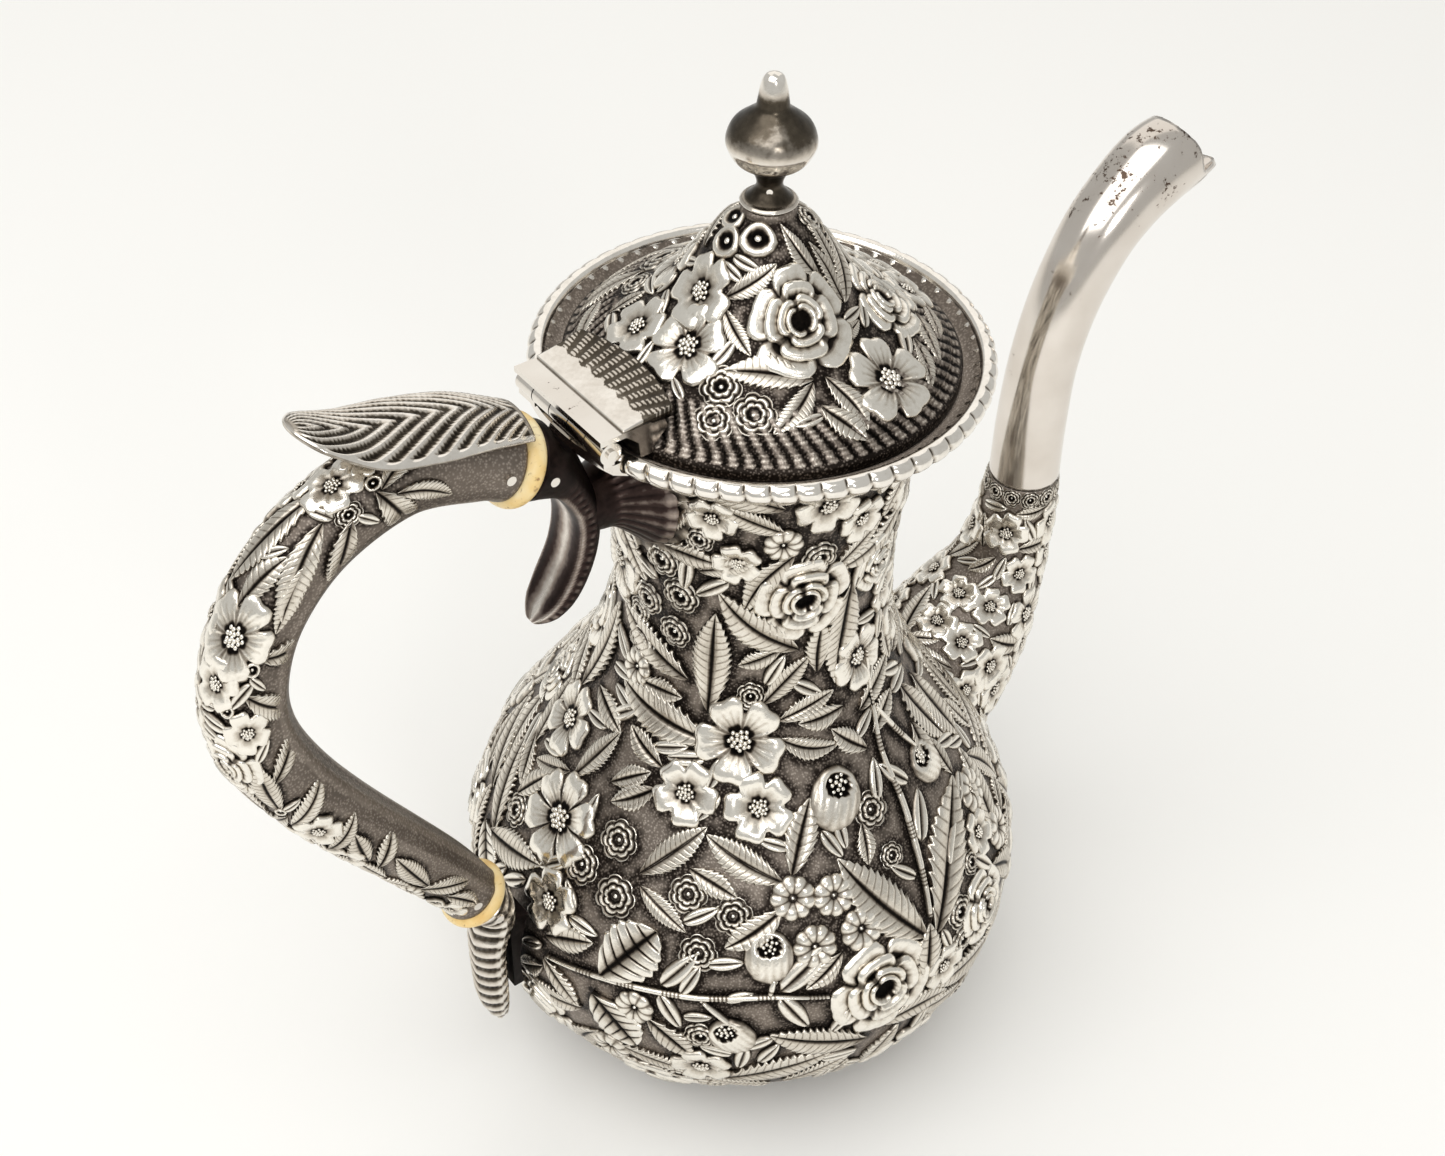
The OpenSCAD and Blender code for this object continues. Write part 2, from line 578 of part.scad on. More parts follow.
module lower_socket() color(dark_silver) difference() {
    union() {
        sweep(tail_path, tail_sizes, -lower_dir, unit([0.5, -1]), 20);
        translate([tail_back - 3.6, -lower_mount_w / 2, lower_mount_bottom])
            cube([3.6, lower_mount_w, lower_mount_top - lower_mount_bottom]);
    }
    at_lower() tenon_hole(lower_ins_t);
    at_lower() cross_pin(-lower_pin_at, 12);
    lower_mount_block();
}

module lower_mount_block() translate([tail_back, -lower_mount_w / 2, lower_mount_bottom])
    cube([12, lower_mount_w, lower_mount_top - lower_mount_bottom]);
module lower_mount() color(dark_silver) difference() {
    lower_mount_block();
    body_solid();
}

module upper_handle_pin() color(silver) at_upper() cross_pin(upper_pin_at, handle_r - 0.2);
module upper_socket_pin() color(silver) at_upper() cross_pin(-upper_pin_at, 8);
module lower_handle_pin() color(silver) at_lower() cross_pin(lower_pin_at, 7.2);
module lower_socket_pin() color(silver) at_lower() cross_pin(-lower_pin_at, 6.9);

body_bowl();
body_shoulder();
body_neck();
base_disc();
foot_ring();
rim_border();
lid_seat_ring();
lid_dome();
lid_bezel();
finial();
finial_peg();
finial_pin();
hinge_lid_leaf();
lid_knuckles();
hinge_body_leaf();
body_knuckles();
hinge_pin();
spout_root();
spout_tube();
handle_body();
thumb_leaf();
upper_insulator();
lower_insulator();
upper_socket();
upper_mount();
lower_socket();
lower_mount();
upper_handle_pin();
upper_socket_pin();
lower_handle_pin();
lower_socket_pin();
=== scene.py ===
# A chased silver coffee pot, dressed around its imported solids. Lengths in this file are millimetres
# unless a name ends in _m; every finished mesh is in metres.
import math
import random

import bpy
import numpy as np
from mathutils import Matrix, Vector
from mathutils.kdtree import KDTree


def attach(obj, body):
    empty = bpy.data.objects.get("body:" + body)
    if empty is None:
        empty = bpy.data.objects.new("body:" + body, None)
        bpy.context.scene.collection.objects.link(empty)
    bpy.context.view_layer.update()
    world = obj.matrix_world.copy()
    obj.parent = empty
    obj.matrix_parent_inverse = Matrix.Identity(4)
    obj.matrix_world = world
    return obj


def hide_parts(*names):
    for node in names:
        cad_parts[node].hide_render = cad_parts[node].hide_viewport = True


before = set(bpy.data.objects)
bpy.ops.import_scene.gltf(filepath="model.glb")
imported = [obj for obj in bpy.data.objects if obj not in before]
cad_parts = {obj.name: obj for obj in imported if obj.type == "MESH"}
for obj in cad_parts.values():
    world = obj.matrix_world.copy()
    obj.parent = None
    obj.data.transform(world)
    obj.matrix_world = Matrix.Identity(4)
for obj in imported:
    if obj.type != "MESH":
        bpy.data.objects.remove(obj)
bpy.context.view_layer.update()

MM = 0.001
chance = random.Random(31)

# ---- camera ----
CAMERA_AT = Vector((-205.8, -252.7, 416.6)) * MM
CAMERA_AHEAD = Vector((0.459, 0.587, -0.6665)).normalized()
CAMERA_ROLL = math.radians(-1.81)
CAMERA_LENS = 49.83


def place_camera():
    right = CAMERA_AHEAD.cross(Vector((0, 0, 1))).normalized()
    up = right.cross(CAMERA_AHEAD)
    side = right * math.cos(CAMERA_ROLL) - up * math.sin(CAMERA_ROLL)
    top = right * math.sin(CAMERA_ROLL) + up * math.cos(CAMERA_ROLL)
    turn = Matrix((side, top, -CAMERA_AHEAD)).transposed().to_4x4()
    bpy.ops.object.camera_add()
    camera = bpy.context.object
    camera.matrix_world = Matrix.Translation(CAMERA_AT) @ turn
    camera.data.lens = CAMERA_LENS
    camera.data.clip_start = 0.01
    bpy.context.scene.camera = camera


place_camera()


# ---- hand tools ----
def drop_selection():
    bpy.ops.object.select_all(action="DESELECT")


def pick(*objects):
    drop_selection()
    for each in objects:
        each.select_set(True)
    bpy.context.view_layer.objects.active = objects[0]


def named(name):
    made = bpy.context.object
    made.name = made.data.name = name
    return made


def points_of(piece):
    flat = np.empty(len(piece.data.vertices) * 3, dtype=np.float32)
    piece.data.vertices.foreach_get("co", flat)
    return flat.reshape(-1, 3).astype(np.float64)


def move_points(piece, points):
    piece.data.vertices.foreach_set("co", points.astype(np.float32).ravel())
    piece.data.update()


def tone_of(piece):
    values = np.empty(len(piece.data.vertices), dtype=np.float32)
    piece.data.attributes["tone"].data.foreach_get("value", values)
    return values


# Tone runs from 0, oxide left in a recess, to 1, a rubbed bright top; it also carries painted shade on the
# grounds beside the motifs, and a painted highlight on the finial and the scroll
def set_tone(piece, tone):
    layer = piece.data.attributes.get("tone") or piece.data.attributes.new("tone", "FLOAT", "POINT")
    layer.data.foreach_set("value", np.clip(tone, 0, 1).astype(np.float32))


def weld(piece, gap=1e-5):
    pick(piece)
    bpy.ops.object.mode_set(mode="EDIT")
    bpy.ops.mesh.select_all(action="SELECT")
    bpy.ops.mesh.remove_doubles(threshold=gap)
    bpy.ops.mesh.normals_make_consistent(inside=False)
    bpy.ops.object.mode_set(mode="OBJECT")


def smooth_line(points, steps):
    p = np.array(points, dtype=float)
    t = np.linspace(0, 1, steps, endpoint=False)[:, None]
    runs = []
    for i in range(len(p) - 1):
        a, b, c, d = p[max(i - 1, 0)], p[i], p[i + 1], p[min(i + 2, len(p) - 1)]
        runs.append(0.5 * (2 * b + (c - a) * t + (2 * a - 5 * b + 4 * c - d) * t**2
                           + (3 * b - a - 3 * c + d) * t**3))
    return np.vstack(runs + [p[-1:]])


def run_of(line):
    return np.concatenate([[0], np.cumsum(np.linalg.norm(np.diff(line, axis=0), axis=1))])


# ---- surfaces that ornament is laid on ----
# A skin gives a point for an angle round it, in radians, and a distance along it
class Skin:
    def out(self, turn, along):
        here = self.spot(turn, along)
        side = self.spot(turn + 0.004, along) - here
        ahead = self.spot(turn, along + 0.06) - self.spot(turn, along - 0.06)
        normal = np.cross(side, ahead)
        return normal / np.maximum(np.linalg.norm(normal, axis=-1, keepdims=True), 1e-9)

    def girth(self, turn, along):
        ends = self.spot(np.array([turn, turn + 0.01]), np.array([along, along]))
        return max(float(np.linalg.norm(ends[1] - ends[0])) / 0.01, 1.0)

    def raised(self, turn, along, height):
        return self.spot(turn, along) + self.out(turn, along) * np.asarray(height)[..., None]


class Turned(Skin):
    def __init__(self, outline):
        self.line = np.array(outline, dtype=float)
        self.run = run_of(self.line)
        self.length = self.run[-1]

    def spot(self, turn, along):
        r = np.interp(along, self.run, self.line[:, 0])
        z = np.interp(along, self.run, self.line[:, 1])
        return np.stack([r * np.cos(turn), r * np.sin(turn), z], -1)

    def along_at(self, z):
        order = np.argsort(self.line[:, 1])
        return float(np.interp(z, self.line[order, 1], self.run[order]))


class Swept(Skin):
    def __init__(self, stations, start, end):
        line = smooth_line(stations, 24)
        self.path, self.size = line[:, :2], line[:, 2:]
        self.run = run_of(self.path)
        self.length = self.run[-1]
        ahead = np.gradient(self.path, axis=0)
        ahead /= np.linalg.norm(ahead, axis=1, keepdims=True)
        # Near each end the way ahead turns to the direction given for that end
        for direction, off in [(start, self.run), (end, self.length - self.run)]:
            blend = np.exp(-off / 4)[:, None]
            ahead = ahead * (1 - blend) + np.array(direction) * blend
        self.ahead = ahead / np.linalg.norm(ahead, axis=1, keepdims=True)

    def spot(self, turn, along):
        x, z = (np.interp(along, self.run, self.path[:, k]) for k in (0, 1))
        dx, dz = (np.interp(along, self.run, self.ahead[:, k]) for k in (0, 1))
        thick, wide = (np.interp(along, self.run, self.size[:, k]) for k in (0, 1))
        lean = thick * np.cos(turn)
        return np.stack([x - dz * lean, -wide * np.sin(turn), z + dx * lean], -1)

    def middle(self, along):
        x, z = (np.interp(along, self.run, self.path[:, k]) for k in (0, 1))
        return np.stack([x, 0 * x, z], -1)


def shifted(stations, x, z):
    return [(x + s[0], z + s[1]) + tuple(s[2:]) for s in stations]


# Outline of the body, as in the part's source
BASE_R, FOOT_H, BELLY_R, BELLY_Z, NECK_R, NECK_Z, RIM_Z = 34, 5.5, 66.8, 47, 31.3, 131, 188
EDGE_Z = RIM_Z - 1
NECK_TAPER, MOUTH_FLARE = 6.5, 8.4


def body_radius(z):
    z = np.asarray(z, dtype=float)
    bowl = np.clip((z - FOOT_H) / (BELLY_Z - FOOT_H), 0, 1)
    low = BASE_R + (BELLY_R - BASE_R) * (1 - (1 - bowl) ** 2.2) ** (1 / 2.2)
    wave = np.clip((z - BELLY_Z) / (NECK_Z - BELLY_Z), 0, 1)
    mid = NECK_R + (BELLY_R - NECK_R) * ((1 + np.cos(math.pi * wave)) / 2) ** 1.15
    t = np.clip((z - NECK_Z) / (RIM_Z - NECK_Z), 0, 1)
    high = NECK_R + NECK_TAPER * t**2 + MOUTH_FLARE * t**9
    return np.where(z < BELLY_Z, low, np.where(z < NECK_Z, mid, high))


body_zs = np.concatenate([FOOT_H + (BELLY_Z - FOOT_H) * (1 - np.cos(np.linspace(0, math.pi / 2, 200))),
                          np.linspace(BELLY_Z, EDGE_Z, 700)[1:]])
BODY = Turned(np.stack([body_radius(body_zs), body_zs], 1))

LID_R, LID_Z, LID_H, LID_BAND = 39.75, 184.8, 35.4, 1.6
LID_TOP = LID_Z + LID_H
OGEE = [(0.11, 1), (0.225, 0.915), (0.325, 0.77), (0.43, 0.6), (0.56, 0.44), (0.71, 0.325), (0.86, 0.225),
        (0.955, 0.135)]
lid_line = smooth_line([(LID_R * a, LID_Z + LID_H * b) for a, b in OGEE], 16)[::-1]
LID = Turned(np.vstack([[(LID_R, LID_Z), (LID_R, LID_Z + LID_BAND)], lid_line]))

JOINT_X, JOINT_Z = 82.6, 117.7
ROOT = Swept(shifted([(-33, -58, 27, 21), (-20.6, -48, 22.5, 18.5), (-10.4, -36.7, 17.3, 15.5),
                      (-4.4, -26.5, 13, 12.2), (-1.4, -15, 10.6, 10.3), (0, 0, 9.4, 9.4)], JOINT_X, JOINT_Z),
             (0.78, 0.62), (0, 1))
SPOUT = Swept(shifted([(0, 0, 8.4, 8.4), (-0.3, 15.2, 8.2, 8.2), (0.7, 32, 7.9, 7.9), (4.4, 47.1, 8, 8),
                       (11.1, 60.4, 8.4, 8.4), (18.3, 68.2, 8.8, 8.8), (26, 73.4, 9.3, 9.3),
                       (32, 75.2, 9.2, 9.1), (37.4, 75, 8.4, 8), (43.4, 72.6, 5.4, 5),
                       (48, 70.6, 2.4, 2.2)], JOINT_X, JOINT_Z), (0, 1), (0.92, -0.38))
# The line that opens the mouth, from the upper lip to the beak
MOUTH_CUT = smooth_line([(28.6, 84.5), (30.4, 82.4), (31.8, 80), (32.4, 77.6), (32.8, 75.6), (34, 73.8),
                         (37.6, 72), (43.6, 70), (48.4, 67.6)], 6)
MOUTH_CUT = MOUTH_CUT + np.array([JOINT_X, JOINT_Z])

UPPER, LOWER = np.array([-59, 185.5]), np.array([-75, 71.7])
UPPER_DIR = np.array([-math.cos(math.radians(28)), math.sin(math.radians(28))])
LOWER_DIR = np.array([-math.sin(math.radians(31)), math.cos(math.radians(31))])
HANDLE_R, HANDLE_REACH = 8.7, 54.7
# Share of the fall from the upper to the lower joint, and of the reach behind it
HANDLE_BOW = [(-0.07, 0.44), (-0.02, 0.74), (0.085, 0.93), (0.21, 1), (0.33, 0.97), (0.46, 0.84),
              (0.62, 0.61)]


def handle_stations():
    down = LOWER - UPPER
    knots = [UPPER + UPPER_DIR * 2.4, UPPER + UPPER_DIR * 8.4]
    for fallen, reach in HANDLE_BOW:
        knots.append(UPPER + fallen * down - np.array([reach * HANDLE_REACH, 0]))
    knots += [LOWER + LOWER_DIR * 16, LOWER + LOWER_DIR * 2]
    rows = []
    for i, knot in enumerate(knots):
        t = i / (len(knots) - 1)
        radius = HANDLE_R - (0.4 * (1 - 2 * t) ** 2 if t < 0.5 else 1.7 * (2 * t - 1) ** 2)
        rows.append((knot[0], knot[1], radius, radius))
    return rows


HANDLE = Swept(handle_stations(), UPPER_DIR, -LOWER_DIR)

THUMB_ROOT = UPPER + UPPER_DIR * 2.7 + HANDLE_R * np.array([UPPER_DIR[1], -UPPER_DIR[0]])
# Rise above the root, half thickness and half width of the thumb leaf, every 11 mm
THUMB_STEPS = [(1, 1.4, 7.2), (6.5, 1.8, 9.8), (9.4, 1.8, 10.9), (11.5, 1.8, 9.8), (17, 1.5, 5.2)]
THUMB = Swept([(THUMB_ROOT[0] - 11 * i, THUMB_ROOT[1] + rise, thick, wide)
               for i, (rise, thick, wide) in enumerate(THUMB_STEPS)], (-0.89, 0.45), (-0.74, 0.67))

MOUNT_X, MOUNT_Z, SCROLL_X, TAIL_X = -41.5, 168, -45.1, -68.7
scroll_start = UPPER - UPPER_DIR * 2.4
SCROLL = Swept([(*scroll_start, 8.3, 8.3), (*(scroll_start - UPPER_DIR * 4.5), 7.6, 8),
                (SCROLL_X - 3.6, MOUNT_Z + 9, 5.2, 7.2), (SCROLL_X, MOUNT_Z, 4.1, 6.8),
                (SCROLL_X - 1, MOUNT_Z - 10, 3.9, 6.6), (SCROLL_X - 5.6, MOUNT_Z - 19, 3.6, 6.2),
                (SCROLL_X - 11.6, MOUNT_Z - 25, 2.2, 3.6)], -UPPER_DIR, (-0.74, -0.67))
tail_start = LOWER - LOWER_DIR * 2
TAIL = Swept([(*tail_start, 6.9, 6.9), (*(tail_start - LOWER_DIR * 7), 5, 6.7),
              (TAIL_X - 3.7, BELLY_Z + 7, 3.8, 6.3), (TAIL_X - 3.8, BELLY_Z - 5, 3.6, 6.1),
              (TAIL_X - 3.4, BELLY_Z - 15, 3.2, 5.4), (TAIL_X - 1.6, BELLY_Z - 24, 1.4, 2)],
             -LOWER_DIR, (0.45, -0.89))


# ---- sheets bent round a skin ----
# A flat grid is bent round: shape takes the turn round the skin and the share up the grid, and gives
# points and tone
def bent_sheet(name, around, rows, shape):
    drop_selection()
    bpy.ops.mesh.primitive_grid_add(x_subdivisions=around, y_subdivisions=rows, size=2)
    sheet = named(name)
    flat = points_of(sheet)
    points, tone = shape(flat[:, 0] * math.pi, (flat[:, 1] + 1) / 2)
    move_points(sheet, points * MM)
    set_tone(sheet, tone + 0 * flat[:, 0])
    weld(sheet)
    sheet.data.shade_smooth()
    return sheet


# The rows of a closed piece along its skin
def rows_along(skin, up):
    return skin.length * np.clip(up, 0.004, 0.996)


# A closed piece on a swept skin, drawn in to a rounded tip over the last share of its rows
def tipped(skin, turn, up, height, share):
    along = rows_along(skin, up)
    centre = skin.middle(along)
    gone = np.clip(up - 1 + share, 0, share) / share
    drawn = np.sqrt(np.clip(1 - gone**2, 0, 1))[:, None]
    points = centre + (skin.raised(turn, along, height) - centre) * drawn
    ends = (up < 0.001) | (up > 0.999)
    points[ends] = centre[ends]
    return points


def ease(low, high, value):
    t = np.clip((value - low) / (high - low), 0, 1)
    return t * t * (3 - 2 * t)


def bump(distance, width):
    return np.exp(-((distance / width) ** 2))


# ---- motifs, chased flat ----
# Each motif is a closed pad, x and y across the face and z up from the ground
class Motif:
    def __init__(self, piece, footprint, length=None):
        self.piece, self.length = piece, length
        self.points = points_of(piece)
        self.edge = np.where(self.points[:, 2] < -0.7)[0][::2]
        self.footprint = footprint
        self.triangles = sum(len(face.vertices) - 2 for face in piece.data.polygons)


PAD_DEPTH = 0.8


def strip_blank(name, across, along):
    drop_selection()
    bpy.ops.mesh.primitive_grid_add(x_subdivisions=across, y_subdivisions=along, size=2)
    return named(name)


def disc_blank(name, rings, sides):
    drop_selection()
    bpy.ops.mesh.primitive_circle_add(vertices=sides, radius=1 / rings, fill_type="TRIFAN")
    blank = named(name)
    bpy.ops.object.mode_set(mode="EDIT")
    bpy.ops.mesh.select_mode(type="EDGE")
    bpy.ops.mesh.select_all(action="SELECT")
    bpy.ops.mesh.region_to_loop()
    for ring in range(1, rings):
        grow = (ring + 1) / ring
        bpy.ops.mesh.extrude_edges_move()
        bpy.ops.transform.resize(value=(grow, grow, 1), center_override=(0, 0, 0))
    bpy.ops.object.mode_set(mode="OBJECT")
    return blank


# Presses a blank to its relief, then closes its back below the ground
def chased(blank, rule):
    flat = points_of(blank)
    x, y, height, tone = rule(flat[:, 0], flat[:, 1])
    move_points(blank, np.stack([x, y, height], 1))
    set_tone(blank, tone)
    weld(blank, 1e-3)
    bpy.ops.object.mode_set(mode="EDIT")
    bpy.ops.mesh.select_mode(type="EDGE")
    bpy.ops.mesh.select_all(action="SELECT")
    bpy.ops.mesh.region_to_loop()
    bpy.ops.mesh.extrude_edges_move()
    bpy.ops.object.mode_set(mode="OBJECT")
    skirt = np.array([v.select for v in blank.data.vertices])
    points, shade = points_of(blank), tone_of(blank)
    points[skirt, 2] = -PAD_DEPTH
    shade[skirt] = 0
    move_points(blank, points)
    set_tone(blank, shade)
    bpy.ops.object.mode_set(mode="EDIT")
    bpy.ops.mesh.edge_face_add()
    bpy.ops.mesh.select_mode(type="FACE")
    bpy.ops.mesh.poke()
    bpy.ops.mesh.select_all(action="SELECT")
    bpy.ops.mesh.normals_make_consistent(inside=False)
    bpy.ops.object.mode_set(mode="OBJECT")
    blank.data.shade_smooth()
    return blank


def beads(count, spread, radius, height, fall=0.6, centre=(0, 0)):
    made = []
    for i in range(count):
        far = spread * math.sqrt((i + 0.3) / count)
        turn = 2.4 * i
        top = height - fall * (far / max(spread, 0.1)) ** 2
        drop_selection()
        bpy.ops.mesh.primitive_uv_sphere_add(segments=7, ring_count=4, radius=radius, location=(
            centre[0] + far * math.cos(turn), centre[1] + far * math.sin(turn), top - radius))
        bpy.ops.object.transform_apply(location=True)
        bead = named("bead")
        spots = points_of(bead)
        set_tone(bead, 0.1 + 1.1 * ease(top - 1.6 * radius, top, spots[:, 2]))
        bead.data.shade_smooth()
        made.append(bead)
    return made


def fused(pieces):
    pick(*pieces)
    if len(pieces) > 1:
        bpy.ops.object.join()
    return bpy.context.object


def petal_share(turn, petals):
    part = (turn * petals / (2 * math.pi)) % 1 - 0.5
    return part, 2 * np.abs(part)


# An open flower: notched petals with rolled rims round a boss of beads
def blossom(name, radius, petals=5, rings=13, samples=14, boss=0.27):
    def rule(x, y):
        far, turn = np.hypot(x, y), np.arctan2(y, x)
        part, off = petal_share(turn, petals)
        rim = 1 - 0.1 * bump(part, 0.07) + 0.02 * np.cos(8 * math.pi * part)
        rim = rim - 0.12 * np.minimum(off / 0.84, 1) ** 3 - 0.42 * ease(0.82, 1, off)
        lift = ease(boss * 0.8, 0.8, far) * (1 - 0.45 * ease(0.86, 1.0, far))
        beat = np.cos(math.pi * far * rings)
        height = 0.35 + 1.25 * lift * (1 - 0.55 * off**2.5) + 0.06 * beat * ease(0.5, 0.7, far)
        flute = 0.09 * np.cos(10 * math.pi * part) * ease(0.3, 0.5, far) * (1 - ease(0.7, 0.9, far))
        tone = 0.5 + 0.6 * lift + 1.6 * flute - 0.12 * (beat < 0) * ease(0.6, 0.75, far)
        tone = tone * (1 - 0.9 * ease(0.88, 0.98, off))
        tone = np.where(far < boss * 1.15, 0.04, tone)
        return x * rim * radius, y * rim * radius, np.where(far < boss, 0.5, height + flute), tone

    disc = chased(disc_blank(name, rings, petals * samples), rule)
    boss_beads = beads(19, radius * (boss - 0.03), radius * 0.062, 1.5, 0.7)
    return Motif(fused([disc] + boss_beads), [(0, 0, radius * 0.86)])


# A small round flower of flutes with a dark eye
def daisy(name, radius, flutes=9, rings=8):
    def rule(x, y):
        far, turn = np.hypot(x, y), np.arctan2(y, x)
        part, off = petal_share(turn, flutes)
        rim = 1 - 0.09 * off**2
        swell = np.sin(math.pi * np.clip(far, 0, 1) ** 1.2 * 0.86)
        height = 0.35 + 1.0 * swell - 0.28 * off**2 * far
        tone = 0.15 + 0.95 * swell * (1 - 0.65 * off**3) + 0.2 * ease(0.8, 1, far)
        hole = far < 0.22
        return x * rim * radius, y * rim * radius, np.where(hole, 0.2, height), np.where(hole, 0, tone)

    disc = chased(disc_blank(name, rings, flutes * 4), rule)
    return Motif(fused([disc] + beads(1, 0, radius * 0.11, 0.75)), [(0, 0, radius)])


# A many-petalled rosette: wavy rings one inside the other round a dark hole
def rosette(name, radius, waves=3.4, rings=18, lobes=7):
    def rule(x, y):
        far, turn = np.hypot(x, y), np.arctan2(y, x)
        part, off = petal_share(turn + 0.5 * far, lobes)
        wobble = 1 - 0.17 * off**3
        wave = -np.cos(2 * math.pi * waves * far)
        height = 0.5 + 0.6 * (1 - far**2) + 0.3 * wave - 0.25 * off**4
        tone = 0.12 + 0.48 * (wave + 1) * (1 - 0.55 * off**6)
        hole = far < 0.24
        return x * wobble * radius, y * wobble * radius, np.where(hole, 0.15, height), np.where(hole, 0, tone)

    disc = chased(disc_blank(name, rings, lobes * 6), rule)
    return Motif(fused([disc] + beads(1, 0, radius * 0.16, 0.75)), [(0, 0, radius)])


# One whorl of a rose: broad petals that rise to a curled rim
def whorl(name, radius, petals, phase, low, high, rings, samples, cover, hollow=0.0):
    def rule(x, y):
        far, turn = np.hypot(x, y), np.arctan2(y, x)
        part, off = petal_share(turn + phase, petals)
        rim = 1 - 0.24 * off**4 - 0.06 * bump(part, 0.08) + 0.02 * np.cos(6 * math.pi * part)
        lift = ease(cover * 0.85, 0.92, far) * (1 - 0.4 * ease(0.9, 1, far))
        height = low + (high - low) * lift * (1 - 0.35 * off**4)
        hatch = 0.14 * (np.cos(16 * math.pi * part) < -0.3) * ease(0.97, 0.8, far)
        tone = 0.03 + ease(cover - 0.02, cover + 0.16, far) * (1 - 0.9 * ease(0.82, 0.98, off)) - hatch
        height = np.where(far < hollow, low * 0.4, height)
        return x * rim * radius, y * rim * radius, height, np.where(far < hollow, 0, tone)

    return chased(disc_blank(name, rings, petals * samples), rule)


def rose(name, radius):
    whorls = [whorl(name, radius, 5, 0.2, 0.2, 1.2, 12, 12, 0.64),
              whorl(name, radius * 0.7, 4, 0.9, 0.3, 1.75, 10, 13, 0.62),
              whorl(name, radius * 0.46, 3, 0.3, 0.4, 2.1, 9, 14, 0.6),
              whorl(name, radius * 0.3, 2, 1.3, 0.4, 2.25, 7, 16, 0.6, 0.55)]
    return Motif(fused(whorls), [(0, 0, radius * 0.92)])


# A pointed leaf: two swelling halves, fine slanting veins, nicks cut into the edge
def leaf(name, length, half, teeth, sway, across=12):
    def rule(x, y):
        t, off = (y + 1) / 2, np.abs(x)
        width = np.clip(t, 0, 1) ** 0.6 * np.clip(1 - t, 0, 1) ** 0.85 / 0.404
        saw = (t * teeth) % 1
        reach = half * width * (1 - 0.24 * (1 - saw) * off**8)
        vein = (saw < 0.05) | (saw > 0.95)
        lobes = np.clip(1.9 * off * (1.22 - off), 0, 1) ** 0.7
        height = 0.5 + 0.95 * lobes * np.minimum(width, 1) ** 0.5 - 0.14 * vein * ease(0.1, 0.5, off)
        rib = off < 0.05
        tone = 0.5 + 0.46 * lobes - 0.3 * vein * ease(0.08, 0.3, off) + 0.12 * ease(0.75, 0.95, off)
        tone = tone - 0.3 * ease(0.2, 0.0, t) * (off < 0.6)
        px = x * reach + sway * length * (t - 0.3) ** 2 * np.where(t > 0.3, 1, 0.3)
        py = t * length + off * half * width * 0.95 * (1 - t)
        return px, py, np.where(rib, 0.4, height), np.where(rib, 0.0, tone)

    blank = chased(strip_blank(name, across, teeth * 6), rule)
    rough = [(0.02, 0.2, 0.7), (0.04, 0.42, 0.88), (0.15, 0.66, 0.66), (0.3, 0.88, 0.32)]
    return Motif(blank, [(sway * length * a, length * b, half * c) for a, b, c in rough], length)


# A broad leaf whose few veins run out to a scalloped edge
def veined_leaf(name, length, half, veins=6):
    def rule(x, y):
        t, off = (y + 1) / 2, np.abs(x)
        width = np.clip(t, 0, 1) ** 0.45 * np.clip(1 - t, 0, 1) ** 0.6 / 0.49
        wave = (t * veins) % 1
        reach = half * width * (1 - 0.13 * np.abs(2 * wave - 1) * off**4)
        cut = bump(np.abs(wave - 0.5) - 0.5, 0.1) * ease(0.05, 0.2, off) * ease(1, 0.7, off)
        height = 0.5 + 0.9 * np.clip(1.8 * off * (1.25 - off), 0, 1) ** 0.7 - 0.4 * cut
        tone = 0.62 + 0.38 * ease(0.1, 0.6, off) - 0.8 * cut
        rib = off < 0.05
        px, py = x * reach + 0.1 * length * (t - 0.4) ** 2, t * length + off * half * width * 0.7 * (1 - t)
        return px, py, np.where(rib, 0.35, height), np.where(rib, 0.0, tone)

    blank = chased(strip_blank(name, 14, veins * 8), rule)
    rough = [(0.2, 0.8), (0.5, 0.95), (0.8, 0.6)]
    return Motif(blank, [(0, length * b, half * c) for b, c in rough], length)


# A smooth little leaf with one groove, for stems and corners
def sprig(name, length, half):
    def rule(x, y):
        t, off = (y + 1) / 2, np.abs(x)
        width = np.clip(t, 0, 1) ** 0.6 * np.clip(1 - t, 0, 1) ** 0.8 / 0.41
        height = 0.4 + 0.75 * (4 * off * (1 - off)) ** 0.6 * width**0.4
        tone = np.where(off < 0.1, 0.15, 0.3 + 0.7 * (4 * off * (1 - off)) ** 0.5)
        return x * half * width, t * length, height, tone

    rough = [(0, length * 0.35, half), (0, length * 0.72, half * 0.7)]
    return Motif(chased(strip_blank(name, 6, 9), rule), rough, length)


# A round seed pod that splits at its crown to show beads
def pod(name, radius):
    def rule(x, y):
        far, turn = np.hypot(x, y), np.arctan2(y, x)
        dome = np.sqrt(np.clip(1 - far**2, 0, 1))
        mouth = np.hypot(x / 0.52, (y - 0.42) / 0.36)
        height = 0.4 + 1.5 * dome - 0.75 * ease(1.1, 0.8, mouth) + 0.08 * np.cos(7 * x * 3)
        tone = 0.3 + 0.75 * dome + 0.12 * np.cos(21 * x)
        tone = np.where(mouth < 1.0, 0.02, np.where(mouth < 1.35, 1, tone))
        return x * radius, y * radius * 1.15, height, tone

    disc = chased(disc_blank(name, 12, 28), rule)
    seeds = beads(12, radius * 0.38, radius * 0.095, 1.5, 0.3, (0, radius * 0.48))
    return Motif(fused([disc] + seeds), [(0, 0, radius)])


